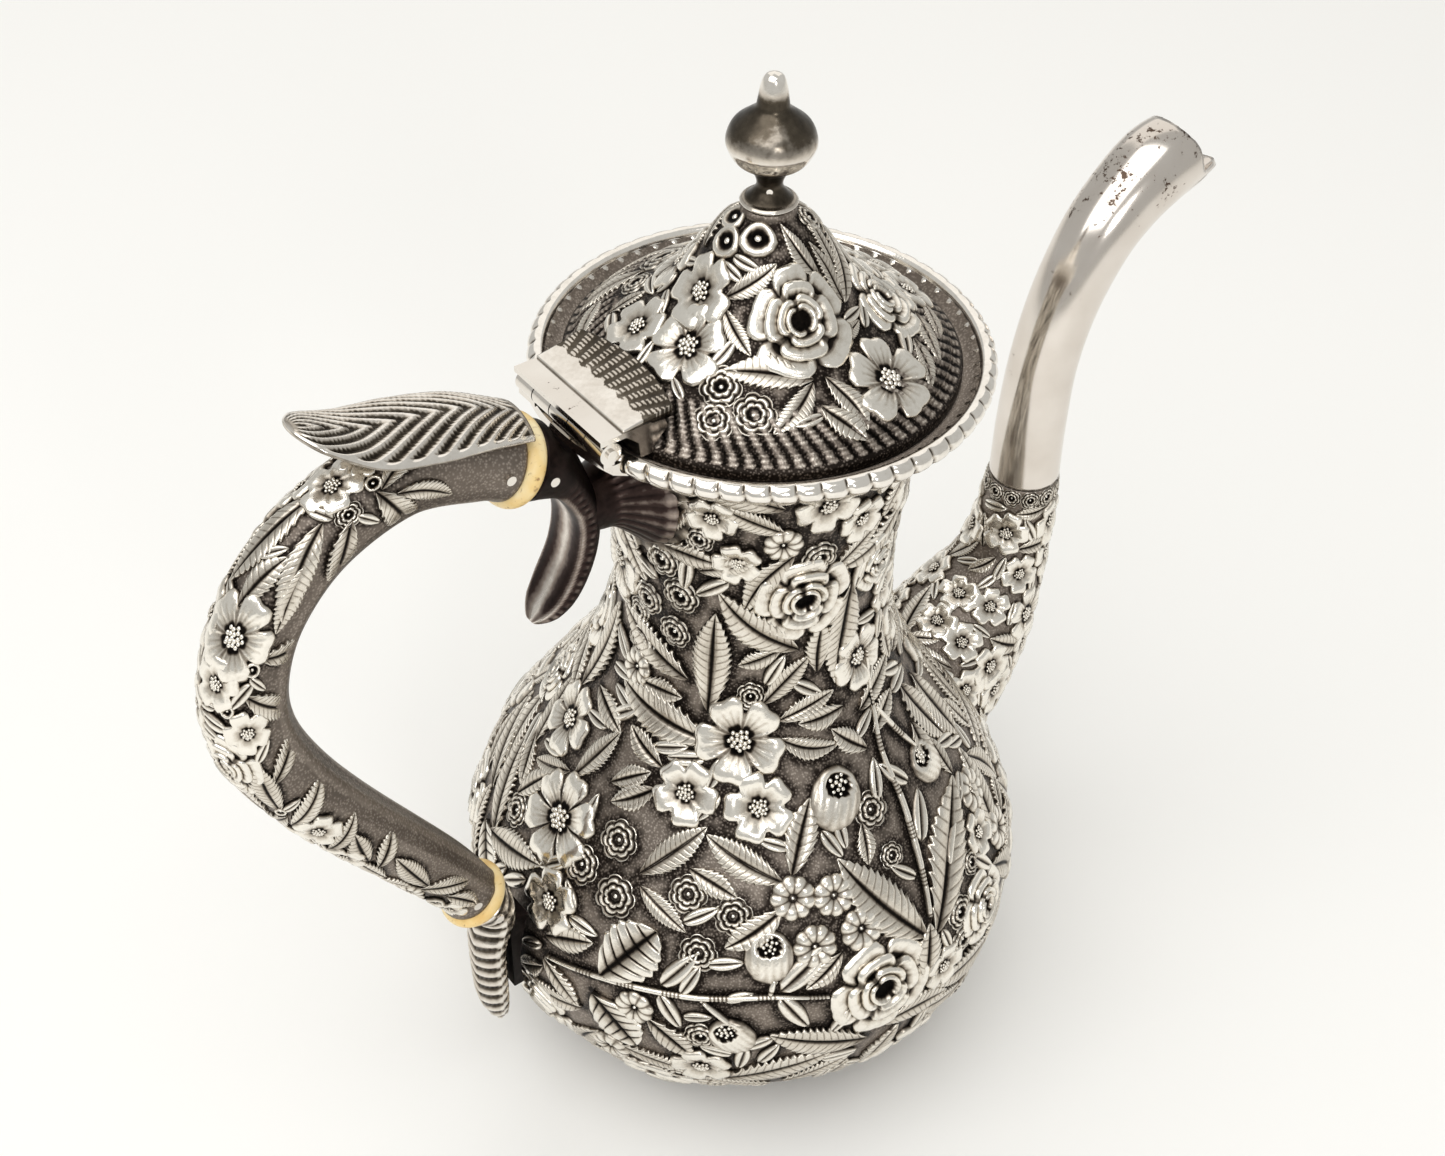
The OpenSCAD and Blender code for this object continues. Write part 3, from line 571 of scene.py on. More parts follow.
# A little cup with a dark hole
def cup(name, radius, sides=14):
    def rule(x, y):
        far = np.hypot(x, y)
        ring = bump(far - 0.76, 0.22)
        uneven = 1 + 0.05 * np.cos(3 * np.arctan2(y, x) + 1)
        return x * radius * uneven, y * radius, 0.25 + 1.0 * ring, np.where(far < 0.5, 0, 0.1 + 0.95 * ring)

    disc = chased(disc_blank(name, 8, sides), rule)
    return Motif(fused([disc] + beads(1, 0, radius * 0.24, 0.7)), [(0, 0, radius)])


# The scalloped fan that the upper mount spreads on the neck
def fan(name, radius, flutes=22):
    def rule(x, y):
        far, turn = np.hypot(x, y), np.arctan2(y, x)
        part, off = petal_share(turn, flutes)
        rim = 1 - 0.06 * off**2
        height = 0.5 + 0.9 * (1 - far) + 0.3 * (1 - off**2) * far
        tone = 0.12 + 0.3 * (1 - off**2) + 0.5 * ease(0.9, 1, far) * (1 - off**2)
        return x * rim * radius, y * rim * radius, height, tone

    return Motif(chased(disc_blank(name, 9, flutes * 5), rule), [(0, 0, radius)])


MADE = [
    blossom("blossom", 10), blossom("small_blossom", 7.5, 5, 11, 10), blossom("six_petal", 11, 6, 13, 12),
    daisy("daisy", 5), rosette("rosette", 5), rose("rose", 12.5), rose("small_rose", 8.5),
    leaf("leaf", 26, 5.5, 13, 0.05), leaf("left_leaf", 25, 5.2, 12, 0.35),
    leaf("right_leaf", 25, 5.2, 12, -0.35), veined_leaf("broad_leaf", 18, 7),
    leaf("short_leaf", 14, 3.9, 8, 0.1, 10), sprig("sprig", 8.5, 1.9), pod("pod", 5.2), cup("cup", 2.7),
    cup("small_cup", 1.9, 12), fan("fan", 17.5),
]
MOTIFS = {motif.piece.data.name: motif for motif in MADE}


# ---- laying ornament ----
STEM_WIDTH = 1.5
# Triangles that one joined piece may take before the next is begun
PIECE_TRIANGLES = 170000


# A bed keeps what already lies on one skin, so that later pieces find free ground
class Bed:
    def __init__(self, skin, sunk, lift=1.0, top=None):
        self.skin, self.sunk, self.lift, self.top = skin, sunk, lift, top or skin.length
        self.laid, self.centres, self.radii, self.edges = {}, [], [], []

    def turned(self, flat, spin, size):
        c, s = math.cos(math.radians(spin)) * size, math.sin(math.radians(spin)) * size
        return flat[:, 0] * c - flat[:, 1] * s, flat[:, 0] * s + flat[:, 1] * c

    def spots(self, x, y, turn, along):
        return self.skin.spot(turn + x / self.skin.girth(turn, along), along + y)

    def claim(self, kind, turn, along, size, spin, overlap):
        marks = np.array([(x, y, r) for x, y, r in MOTIFS[kind].footprint])
        x, y = self.turned(marks[:, :2], spin, size)
        if (along + y).min() < 1 or (along + y).max() > self.top - 1:
            return None
        at = self.spots(x, y, turn, along)
        r = marks[:, 2] * size
        if overlap is not None and self.centres:
            centres, radii = np.array(self.centres), np.array(self.radii)
            gap = np.linalg.norm(at[:, None] - centres[None], axis=2)
            if (gap < (r[:, None] + radii[None]) * (1 - overlap)).any():
                return None
        return at, r

    def lay(self, kind, angle, along, size=1.0, spin=0.0, overlap=None):
        turn = math.radians(angle)
        place = self.claim(kind, turn, along, size, spin, overlap)
        if place is None:
            return
        self.centres += list(place[0])
        self.radii += list(place[1])
        motif = MOTIFS[kind]
        x, y = self.turned(motif.points, spin, size)
        girth = self.skin.girth(turn, along)
        lift = self.lift * min(size, 1.1) ** 0.5
        height = np.where(motif.points[:, 2] > 0, motif.points[:, 2] * lift, motif.points[:, 2])
        low, high = 0.3, self.top - 0.3
        spots = self.skin.raised(turn + x / girth, np.clip(along + y, low, high), height - self.sunk)
        piece = motif.piece.copy()
        piece.data = motif.piece.data.copy()
        bpy.context.collection.objects.link(piece)
        move_points(piece, spots * MM)
        self.laid.setdefault(kind, []).append((piece, motif.triangles))
        self.edges.append(spots[motif.edge])

    # A leaf that grows from one place to another, both given as angle and distance along
    def grow(self, kind, root, tip):
        girth = self.skin.girth(math.radians(root[0]), root[1])
        across = math.radians((tip[0] - root[0] + 180) % 360 - 180) * girth
        ahead = tip[1] - root[1]
        size = math.hypot(across, ahead) / MOTIFS[kind].length
        self.lay(kind, root[0], root[1], size, math.degrees(math.atan2(-across, ahead)))

    # A stem: a thin wire with ladder cuts that runs through points given as angle and distance along
    def stem(self, knots):
        line = smooth_line(knots, 12)
        girth = self.skin.girth(math.radians(line[:, 0].mean()), line[:, 1].mean())
        flat = np.stack([np.radians(line[:, 0]) * girth, line[:, 1]], 1)
        run = run_of(flat)
        rows = max(int(run[-1] / 0.45), 4)
        side = np.gradient(flat, axis=0)
        side = np.stack([side[:, 1], -side[:, 0]], 1) / np.linalg.norm(side, axis=1, keepdims=True)

        def rule(x, y):
            t = (y + 1) / 2
            here = t * run[-1]
            cx, cy = (np.interp(here, run, flat[:, k]) for k in (0, 1))
            sx, sy = (np.interp(here, run, side[:, k]) for k in (0, 1))
            taper = STEM_WIDTH / 2 * np.sin(math.pi * np.clip(t, 0.08, 0.92)) ** 0.4
            cut = (np.cos(2 * math.pi * here / 0.9) < 0) & (np.cos(2 * math.pi * here / 11) > 0.3)
            height = 0.4 + 0.9 * np.sqrt(np.clip(1 - x * x * 0.8, 0, 1)) - 0.15 * cut
            tone = np.where(cut, 0.4, 0.65 + 0.4 * (1 - x * x))
            return cx + sx * x * taper, cy + sy * x * taper, height, tone

        piece = chased(strip_blank("stem", 4, rows), rule)
        x, y, height = points_of(piece).T
        spots = self.skin.raised(x / girth, y, height * self.lift - self.sunk)
        move_points(piece, spots * MM)
        self.laid.setdefault("stem", []).append((piece, len(piece.data.polygons) * 2))
        self.edges.append(spots[::3])
        steps = np.arange(0, run[-1], 2.0)
        marks = self.skin.spot(np.interp(steps, run, flat[:, 0]) / girth, np.interp(steps, run, flat[:, 1]))
        self.centres += list(marks)
        self.radii += [STEM_WIDTH * 0.7] * len(marks)

    # Lays kinds at their places: angle, place along, size and spin
    def set_out(self, table, along_at=float):
        for kind, places in table.items():
            for angle, at, size, spin in places:
                self.lay(kind, angle, along_at(at), size, spin)

    # Grows leaves at their places: angle and place along of the stalk's end, then of the tip
    def grow_all(self, table, along_at):
        for kind, places in table.items():
            for root_angle, root_at, tip_angle, tip_at in places:
                self.grow(kind, (root_angle, along_at(root_at)), (tip_angle, along_at(tip_at)))

    # Fills free ground with seeded throws: kind, number of tries, range of sizes
    def scatter(self, throws, low, high, overlap, angles=(-180, 180)):
        for kind, tries, sizes in throws:
            for _ in range(tries):
                self.lay(kind, chance.uniform(*angles), chance.uniform(low, high), chance.uniform(*sizes),
                         chance.uniform(0, 360), overlap)

    # Joins what was laid into pieces of one kind each, small enough to keep their STL whole
    def gathered(self, prefix, groups):
        pieces = []
        for group, kinds in groups.items():
            batch, total, number = [], 0, 1
            items = [item for kind in kinds for item in self.laid.get(kind, [])]
            for index, (piece, triangles) in enumerate(items):
                batch.append(piece)
                total += triangles
                if total > PIECE_TRIANGLES or index == len(items) - 1:
                    joined = fused(batch)
                    joined.name = joined.data.name = f"{prefix}_{group}_{number}"
                    joined.data.shade_smooth()
                    pieces.append(joined)
                    batch, total, number = [], 0, number + 1
        return pieces

    # How close each point lies to the outline of a motif, as tone: dark beside it, a painted shade for the
    # occlusion where the relief meets the ground
    def shade(self, points, reach=3.2, dark=0.06, light=0.68):
        marks = np.concatenate(self.edges)
        tree = KDTree(len(marks))
        for index, mark in enumerate(marks):
            tree.insert(mark, index)
        tree.balance()
        away = np.array([tree.find(p)[2] for p in points])
        return dark + (light - dark) * ease(0.1, reach, away) ** 0.8


# ---- materials ----
def paint(code):
    values = [int(code[i:i + 2], 16) / 255 for i in (0, 2, 4)]
    return [v / 12.92 if v <= 0.04045 else ((v + 0.055) / 1.055) ** 2.4 for v in values] + [1.0]


def add(tree, kind, inputs=None, **settings):
    made = tree.nodes.new(kind)
    for name, value in settings.items():
        setattr(made, name, value)
    for name, value in (inputs or {}).items():
        if isinstance(value, bpy.types.NodeSocket):
            tree.links.new(value, made.inputs[name])
        else:
            made.inputs[name].default_value = value
    return made


def ramp(tree, value, stops):
    made = add(tree, "ShaderNodeValToRGB", {"Fac": value})
    bar = made.color_ramp.elements
    while len(bar) < len(stops):
        bar.new(0.5)
    for element, (place, colour) in zip(bar, stops):
        element.position = place
        element.color = paint(colour) if isinstance(colour, str) else (colour, colour, colour, 1)
    return made.outputs["Color"]


def started(name):
    material = bpy.data.materials.new(name)
    material.use_nodes = True
    tree = material.node_tree
    return material, tree, tree.nodes["Principled BSDF"]


# Grains per metre for a grain of so many millimetres
def per(millimetres):
    return 1 / (millimetres * MM)


def place_on(tree):
    return add(tree, "ShaderNodeTexCoord").outputs["Object"]


def link(tree, value, socket):
    tree.links.new(value, socket)


# Fine relief of so many millimetres on a surface
def relief(tree, face, height, strength, depth):
    made = add(tree, "ShaderNodeBump", {"Height": height, "Strength": strength, "Distance": depth * MM})
    link(tree, made.outputs["Normal"], face.inputs["Normal"])


# Silver that was darkened and then rubbed: oxide or film stays in the hollows, and the tone and two sizes of
# cloud say how much is rubbed off, and on the finial and the scroll the tone also carries a painted
# highlight. A cloud is its size, detail, lumpiness and share.
def rubbed_silver(name, clouds, offset, stops, rough, depth):
    material, tree, metal = started(name)
    worn = add(tree, "ShaderNodeAttribute", attribute_name="tone").outputs["Fac"]
    place = place_on(tree)
    for size, detail, lumps, share in clouds:
        grain = add(tree, "ShaderNodeTexNoise", {"Vector": place, "Scale": per(size), "Detail": detail,
                                                 "Roughness": lumps}).outputs["Fac"]
        worn = add(tree, "ShaderNodeMath", {0: grain, 1: share, 2: worn}, operation="MULTIPLY_ADD").outputs[0]
    worn = add(tree, "ShaderNodeMath", {0: worn, 1: offset}, operation="SUBTRACT").outputs[0]
    link(tree, ramp(tree, worn, stops), metal.inputs["Base Color"])
    link(tree, ramp(tree, worn, rough), metal.inputs["Roughness"])
    metal.inputs["Metallic"].default_value = 1.0
    relief(tree, metal, grain, 0.25, depth)
    return material


# The ground between the motifs: punched all over with a round matting tool, about two marks to the
# millimetre, drawn here at 0.6 mm so that it still shows; it holds brown-grey oxide
def matted_silver():
    material, tree, metal = started("sterling_matted_ground")
    # The tone darkens the ground beside the motifs: painted shade
    tone = add(tree, "ShaderNodeAttribute", attribute_name="tone").outputs["Fac"]
    place = place_on(tree)
    dots = add(tree, "ShaderNodeTexVoronoi", {"Vector": place, "Scale": per(0.6)}).outputs["Distance"]
    cloud = add(tree, "ShaderNodeTexNoise", {"Vector": place, "Scale": per(14), "Detail": 3.0}).outputs["Fac"]
    crown = ramp(tree, dots, [(0.1, 1.0), (0.55, 0.0)])
    worn = add(tree, "ShaderNodeMath", {0: crown, 1: 0.3, 2: tone}, operation="MULTIPLY_ADD").outputs[0]
    worn = add(tree, "ShaderNodeMath", {0: cloud, 1: 0.3, 2: worn}, operation="MULTIPLY_ADD").outputs[0]
    worn = add(tree, "ShaderNodeMath", {0: worn, 1: 0.26}, operation="SUBTRACT").outputs[0]
    colour = ramp(tree, worn, [(0.0, "0e0c0a"), (0.25, "2c2622"), (0.55, "7d736a"), (0.85, "a89e94"),
                               (1.0, "cfc7bb")])
    link(tree, colour, metal.inputs["Base Color"])
    metal.inputs["Metallic"].default_value = 1.0
    metal.inputs["Roughness"].default_value = 0.46
    relief(tree, metal, crown, 0.4, 0.15)
    return material


# Polished sterling: burnished by hand, with soft waves and small brown specks where it has begun to tarnish
def polished_silver(name, bright, dull, specks, rising):
    material, tree, metal = started(name)
    place = place_on(tree)
    cloud = add(tree, "ShaderNodeTexNoise", {"Vector": place, "Scale": per(13), "Detail": 5.0}).outputs["Fac"]
    fleck = add(tree, "ShaderNodeTexNoise", {"Vector": place, "Scale": per(1.5), "Detail": 5.0,
                                             "Roughness": 0.7}).outputs["Fac"]
    both = add(tree, "ShaderNodeMath", {0: cloud, 1: 0.9, 2: fleck}, operation="MULTIPLY_ADD").outputs[0]
    height = add(tree, "ShaderNodeSeparateXYZ", {"Vector": place}).outputs["Z"]
    both = add(tree, "ShaderNodeMath", {0: height, 1: rising, 2: both}, operation="MULTIPLY_ADD").outputs[0]
    stain = add(tree, "ShaderNodeMapRange", {"Value": both, "From Min": specks,
                                             "From Max": specks + 0.05}).outputs[0]
    film = add(tree, "ShaderNodeMix", {"Factor": cloud, 6: paint(bright), 7: paint(dull)}, data_type="RGBA")
    colour = add(tree, "ShaderNodeMix", {"Factor": stain, 6: film.outputs[2], 7: paint("5c4c40")},
                 data_type="RGBA")
    link(tree, colour.outputs[2], metal.inputs["Base Color"])
    link(tree, ramp(tree, stain, [(0.0, 0.16), (1.0, 0.45)]), metal.inputs["Roughness"])
    metal.inputs["Metallic"].default_value = 1.0
    wave = add(tree, "ShaderNodeTexNoise", {"Vector": place, "Scale": per(6), "Detail": 1.0}).outputs["Fac"]
    relief(tree, metal, wave, 0.15, 0.05)
    return material


# Bone: sawn and turned discs, warm cream with fine dark pores and ochre where the cement shows through
def bone():
    material, tree, body = started("turned_bone_aged")
    place = place_on(tree)
    long_grain = add(tree, "ShaderNodeMapping", {"Vector": place, "Scale": (0.35, 1, 0.35)}).outputs["Vector"]
    pores = add(tree, "ShaderNodeTexNoise", {"Vector": long_grain, "Scale": per(0.6),
                                             "Detail": 4.0}).outputs["Fac"]
    cloud = add(tree, "ShaderNodeTexNoise", {"Vector": place, "Scale": per(7), "Detail": 3.0}).outputs["Fac"]
    base = ramp(tree, cloud, [(0.3, "f8e6b8"), (0.55, "f0cf8a"), (0.8, "d8a552")])
    dark = ramp(tree, pores, [(0.28, "8f6a36"), (0.4, "ffffff")])
    colour = add(tree, "ShaderNodeMix", {"Factor": 0.75, 6: base, 7: dark}, data_type="RGBA",
                 blend_type="MULTIPLY")
    link(tree, colour.outputs[2], body.inputs["Base Color"])
    body.inputs["Roughness"].default_value = 0.34
    body.inputs["IOR"].default_value = 1.54
    relief(tree, body, pores, 0.2, 0.1)
    return material


MATTED, BONE = matted_silver(), bone()
POLISHED = polished_silver("burnished_sterling", "f3efe8", "d8d0c6", 1.2, 0.0)
SPOUT_SILVER = polished_silver("burnished_sterling_specked", "efe9e2", "c9bfb4", 1.67, 3.0)
# Chased sterling: repousse work, oxidised and rubbed, so recesses stay near black and tops are bright
CHASED = rubbed_silver(
    "chased_sterling_oxidised_and_rubbed", [(9, 4.0, 0.5, 0.3), (0.7, 2.0, 0.5, 0.22)], 0.26,
    [(0.0, "0d0b0a"), (0.28, "2a241f"), (0.52, "81776b"), (0.78, "d3cbbe"), (1.0, "f5f0e6")],
    [(0.0, 0.62), (0.5, 0.4), (1.0, 0.2)], 0.15)
# Turned sterling handled for years: a brown-olive film on the finial's upper bulb and neck, rubbed
# bright below
FINIAL_SILVER = rubbed_silver(
    "sterling_with_olive_film", [(4.5, 6.0, 0.62, 0.5), (1.1, 3.0, 0.5, 0.22)], 0.36,
    [(0.0, "2b2620"), (0.3, "5b5348"), (0.6, "c9c0b4"), (1.0, "f6f1e9")], [(0.0, 0.32), (1.0, 0.14)], 0.12)
# Cast sterling that is seldom rubbed: a purple-brown tarnish with a dull gloss
DARK_SILVER = rubbed_silver(
    "sterling_with_purple_brown_tarnish", [(4.5, 6.0, 0.62, 0.5), (1.1, 3.0, 0.5, 0.22)], 0.36,
    [(0.0, "161110"), (0.35, "3c302d"), (0.65, "94877e"), (1.0, "e4ddd4")], [(0.0, 0.44), (1.0, 0.26)], 0.12)


def finish_piece(piece, material, body, slot, *stands_for):
    piece.data.materials.clear()
    piece.data.materials.append(material)
    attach(piece, body)
    if stands_for:
        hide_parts(*stands_for)


# ---- the body ----
SUNK = 2.2
body_bed = Bed(BODY, SUNK, top=BODY.along_at(181.5))


# Ground that the spout root and the lower mount cover is kept free
for angle, z, radius in [(0, 52, 19), (0, 68, 22), (0, 84, 16), (0, 36, 14), (180, 56, 5), (180, 46, 5),
                         (180, 168, 13)]:
    body_bed.centres.append(BODY.spot(np.array(math.radians(angle)), np.array(BODY.along_at(z))))
    body_bed.radii.append(radius)
body_bed.lay("fan", 180, BODY.along_at(168))

# Flowers: angle, height, size and spin
FLOWERS = {
    "blossom": [(-131, 110, 1.05, 10), (161, 95, 0.9, 40), (-79, 122, 0.8, 15)],
    "small_blossom": [(-147, 98, 1.05, 30), (-124, 97, 1.1, 0), (-144, 168, 0.8, 20), (-135, 156, 0.75, 0),
        (-173, 66, 1.1, 0), (-135, 34, 1.0, 0), (-60, 70, 0.8, 0), (-87, 163, 0.8, 0)],
    "six_petal": [(179, 81, 1.05, 0)],
    "rose": [(-108, 145, 0.92, 0), (-98, 55, 1.1, 20)],
    "small_rose": [(-71, 146, 0.9, 60), (-67, 55, 1.2, 0)],
    "rosette": [(-158, 143, 0.9, 0), (-175, 137, 0.8, 30), (-161, 132, 0.8, 0), (-162, 85, 0.95, 0),
        (-169, 77, 0.95, 40), (-158, 75, 1.0, 10), (-141, 80, 0.9, 0), (-130, 77, 0.9, 20),
        (-137, 69, 0.9, 0), (-179, 124, 0.9, 0)],
    "daisy": [(-116, 80, 1.05, 0), (-106, 79, 1.0, 10), (-112, 70, 1.05, 0), (-101, 71, 1.05, 20),
        (-54, 77, 1.1, 0), (-52, 64, 1.1, 0)],
    "pod": [(-100, 96, 1.25, -20), (-64, 91, 1.0, 30), (-122, 69, 1.1, 0), (-129, 48, 1.05, 40)],
}
body_bed.set_out(FLOWERS, BODY.along_at)

# Leaves: the angle and height of the stalk's end, then of the tip
LEAVES = {
    "leaf": [(-144, 115, -144, 141), (-141, 109, 176, 112), (-153, 121, 166, 129), (-123, 118, -104, 129),
        (-117, 114, -93, 118), (155, 84, 147, 99), (163, 64, 149, 82), (-83, 110, -58, 116),
        (-154, 81, -139, 93), (-153, 79, -140, 73), (-118, 83, -139, 91), (-86, 62, -104, 85),
        (-101, 39, -122, 48), (-153, 34, -137, 31), (-46, 104, -42, 84), (174, 89, 160, 83),
        (176, 89, -176, 103), (-72, 30, -88, 38), (-55, 62, -48, 84), (-118, 24, -104, 34),
        (-120, 22, -134, 26), (-150, 152, -128, 157), (-96, 152, -75, 160), (-150, 172, -170, 158),
        (-118, 165, -142, 172)],
    "left_leaf": [(-109, 131, -146, 144), (-84, 61, -62, 87)],
    "right_leaf": [(-117, 110, -96, 104)],
    "short_leaf": [(-116, 132, -133, 127), (-156, 101, -173, 105), (-156, 97, -168, 90),
        (165, 106, -175, 103), (-116, 84, -109, 98), (-171, 52, -161, 43), (-146, 50, -136, 39),
        (-84, 102, -97, 109), (-80, 104, -64, 109), (-94, 90, -95, 82), (-61, 99, -63, 87)],
    "broad_leaf": [(-157, 57, -147, 72), (-158, 51, -148, 38)],
    "sprig": [(-144, 60, -137, 69), (-120, 61, -109, 70), (-120, 60, -114, 50), (-135, 67, -127, 68),
        (-144, 58, -139, 49), (-139, 53, -133, 54), (-131, 59, -125, 61), (-125, 66, -120, 63),
        (-87, 92, -83, 100), (-74, 91, -82, 98), (-79, 80, -72, 89), (-74, 71, -64, 78),
        (-76, 114, -70, 120), (-84, 75, -90, 80)],
}
body_bed.grow_all(LEAVES, BODY.along_at)

# Stems: the angle and height of each bend
STEMS = [
    [(-170, 53), (-159, 56), (-148, 58), (-136, 59), (-122, 60), (-110, 58)],
    [(-74, 122), (-76, 110), (-79, 100), (-79, 90), (-81, 80), (-84, 66)],
    [(-136, 59), (-130, 53), (-128, 50)],
    [(-122, 60), (-121, 64)],
    [(-76, 110), (-70, 102), (-65, 95)],
]
for stem in STEMS:
    body_bed.stem([(angle, BODY.along_at(z)) for angle, z in stem])

# The far side: the same kinds, thrown on free ground; then leaves, then small things in the gaps
LOW, HIGH = BODY.along_at(12), BODY.along_at(176)
body_bed.scatter([("rose", 60, (0.95, 1.1)), ("six_petal", 60, (0.9, 1.05)), ("blossom", 120, (0.85, 1.05)),
                  ("small_rose", 100, (0.9, 1.1)), ("small_blossom", 240, (0.85, 1.1)),
                  ("pod", 60, (0.9, 1.2))], LOW, HIGH, 0.0)
body_bed.scatter([("leaf", 1200, (0.85, 1.05)), ("left_leaf", 900, (0.75, 1.0)),
                  ("right_leaf", 900, (0.75, 1.0)), ("broad_leaf", 250, (0.8, 1.0)),
                  ("rosette", 300, (0.8, 1.0)), ("daisy", 250, (0.85, 1.05)),
                  ("short_leaf", 2400, (0.8, 1.15)), ("rosette", 200, (0.6, 0.75)),
                  ("sprig", 1200, (0.9, 1.2))], LOW, HIGH, 0.27)

BODY_GROUPS = {"flowers": ["blossom", "small_blossom", "six_petal"], "roses": ["rose", "small_rose"],
               "leaves": ["leaf", "left_leaf", "right_leaf", "broad_leaf", "short_leaf"],
               "rosettes": ["rosette", "daisy", "pod"], "sprigs": ["sprig", "stem"], "fan": ["fan"]}
for piece in body_bed.gathered("body", BODY_GROUPS):
    finish_piece(piece, CHASED, "pot", "chased_silver")

# The inner wall lies behind the backs of the motifs, and steps back to the lip above them
LIP_IN, BACKING = 1.1, 3.3


def body_wall(turn, up):
    outer = up < 0.8
    z_out = FOOT_H + (EDGE_Z - FOOT_H) * np.clip(up / 0.8, 0, 1)
    z_in = EDGE_Z - (EDGE_Z - FOOT_H - 1.2) * np.clip((up - 0.8) / 0.19, 0, 1)
    z = np.where(outer, z_out, z_in)
    z = np.where(up > 0.995, FOOT_H, z)
    sunk = SUNK * ease(FOOT_H, FOOT_H + 5, z) * (1 - ease(176, 181, z))
    behind = LIP_IN + BACKING * ease(FOOT_H, FOOT_H + 5, z) * (1 - ease(181.5, 184.5, z))
    r = body_radius(z) - np.where(outer | (up > 0.995), sunk, behind)
    tone = np.full(len(z), 0.66)
    points = np.stack([r * np.cos(turn), r * np.sin(turn), z], 1)
    # The outer ground takes painted shade beside the motifs
    near = outer & (z > FOOT_H + 1) & (z < 182)
    tone[near] = body_bed.shade(points[near])
    return points, tone


wall = bent_sheet("body_ground", 340, 190, body_wall)
finish_piece(wall, MATTED, "pot", "chased_silver", "body_bowl", "body_shoulder", "body_neck")


# ---- mouth border: a wire swaged into gadroons ----
GADROONS = 60
# The axis of the hinge, the room its barrel takes, and how far the lid's leaf reaches as it turns
HINGE_X, HINGE_Z, BARREL_ROOM, LEAF_SWING = -46.14, 190, 2.75, 4.9
BORDER = smooth_line([(43.0, 186.6), (43.6, 187.6), (44.8, 188), (46.0, 187.4), (46.6, 186.2),
                      (46.2, 184.8), (44.8, 183.2), (42.8, 181.8), (41.0, 181.0), (39.4, 181.2),
                      (40.6, 184), (42.3, 185.6), (43.0, 186.6)], 3)


def mouth_border(turn, up):
    at = up * (len(BORDER) - 1)
    r, z = (np.interp(at, np.arange(len(BORDER)), BORDER[:, k]) for k in (0, 1))
    outside = ease(44.6, 45.8, r) * (z > 186.5) + (z <= 186.5) * ease(39.8, 41.5, r)
    part, off = petal_share(turn + (z - 188) * 0.003, GADROONS)
    lobe = outside * off**4
    r, z = r - 0.9 * lobe, z + 0.6 * lobe * (z < 184)
    x, y = r * np.cos(turn), r * np.sin(turn)
    dx, dz = x - HINGE_X, z - HINGE_Z
    away = np.hypot(dx, dz)
    push = (away < BARREL_ROOM) & (np.abs(y) < 15.5)
    scale = np.where(push, BARREL_ROOM / np.maximum(away, 0.1), 1)
    tone = 0.98 - 0.95 * ease(0.86, 0.97, off) * outside - 0.2 * ease(182.6, 181.4, z)
    return np.stack([HINGE_X + dx * scale, y, HINGE_Z + dz * scale], 1), tone


border = bent_sheet("mouth_border", GADROONS * 10, 36, mouth_border)
finish_piece(border, FINIAL_SILVER, "pot", "polished_silver", "rim_border")


# ---- foot ring ----
def turned_sheet(name, outline, around, rows_per, tone):
    line = smooth_line(outline, rows_per)
    rows = len(line) - 1

    def shape(turn, up):
        at = up * rows
        r, z = (np.interp(at, np.arange(rows + 1), line[:, k]) for k in (0, 1))
        r, z = np.maximum(r, 0), np.maximum(z, 0)
        return np.stack([r * np.cos(turn), r * np.sin(turn), z], 1), tone(turn, z)

    return bent_sheet(name, around, rows, shape)


FOOT = [(32, 0.02), (36.8, 0.02), (37, 0.9), (36.3, 1.9), (35, 2.6), (34.7, 3.6), (34.9, 4.6), (34, 5.5),
        (32, 5.5), (32, 2.5), (32, 0.02)]
foot = turned_sheet("foot_moulding", FOOT, 180, 4, lambda turn, z: 0.75 - 0.45 * bump(z - 2.9, 0.8))
finish_piece(foot, FINIAL_SILVER, "pot", "polished_silver", "foot_ring")


# ---- the lid ----
LID_SUNK = 1.5
FLUTE_OUT, FLUTE_IN, LID_FLUTES = 39.3, 30.5, 78
lid_bed = Bed(LID, LID_SUNK, 0.72)


def lid_along(radius):
    order = np.argsort(LID.line[:, 0])
    return float(np.interp(radius, LID.line[order, 0], LID.run[order]))


# The leaf of the hinge covers the lid's edge here
for y in (-12, -6, 0, 6, 12):
    lid_bed.centres.append(np.array([-34.5, y, 193.5]))
    lid_bed.radii.append(4.5)
# Flowers: angle, radius, size and spin; leaves: angle and radius of the stalk's end, then of the tip
LID_FLOWERS = {
    "rose": [(-105, 18, 0.88, 0), (62, 19, 0.8, 0)],
    "small_rose": [(-35, 23.5, 1.15, 0)],
    "blossom": [(-168, 23.1, 0.85, 0), (-76, 31, 0.95, 30), (28, 27, 0.85, 0), (125, 18, 0.8, 0)],
    "small_blossom": [(180, 16.5, 1.05, 20), (160, 26.2, 0.95, 0), (0, 20, 1.0, 0)],
    "rosette": [(-145, 27.5, 0.85, 0), (-144, 33.4, 0.85, 20), (-131, 31.5, 0.9, 0), (102, 27, 1.05, 0),
        (-34, 8.6, 0.75, 0)],
    "cup": [(156, 7.2, 1.25, 0), (178, 10.5, 1.35, 0), (-142, 8.6, 1.5, 0), (70, 7.5, 1.2, 0),
        (10, 8, 1.2, 0)],
}
lid_bed.set_out(LID_FLOWERS, lid_along)
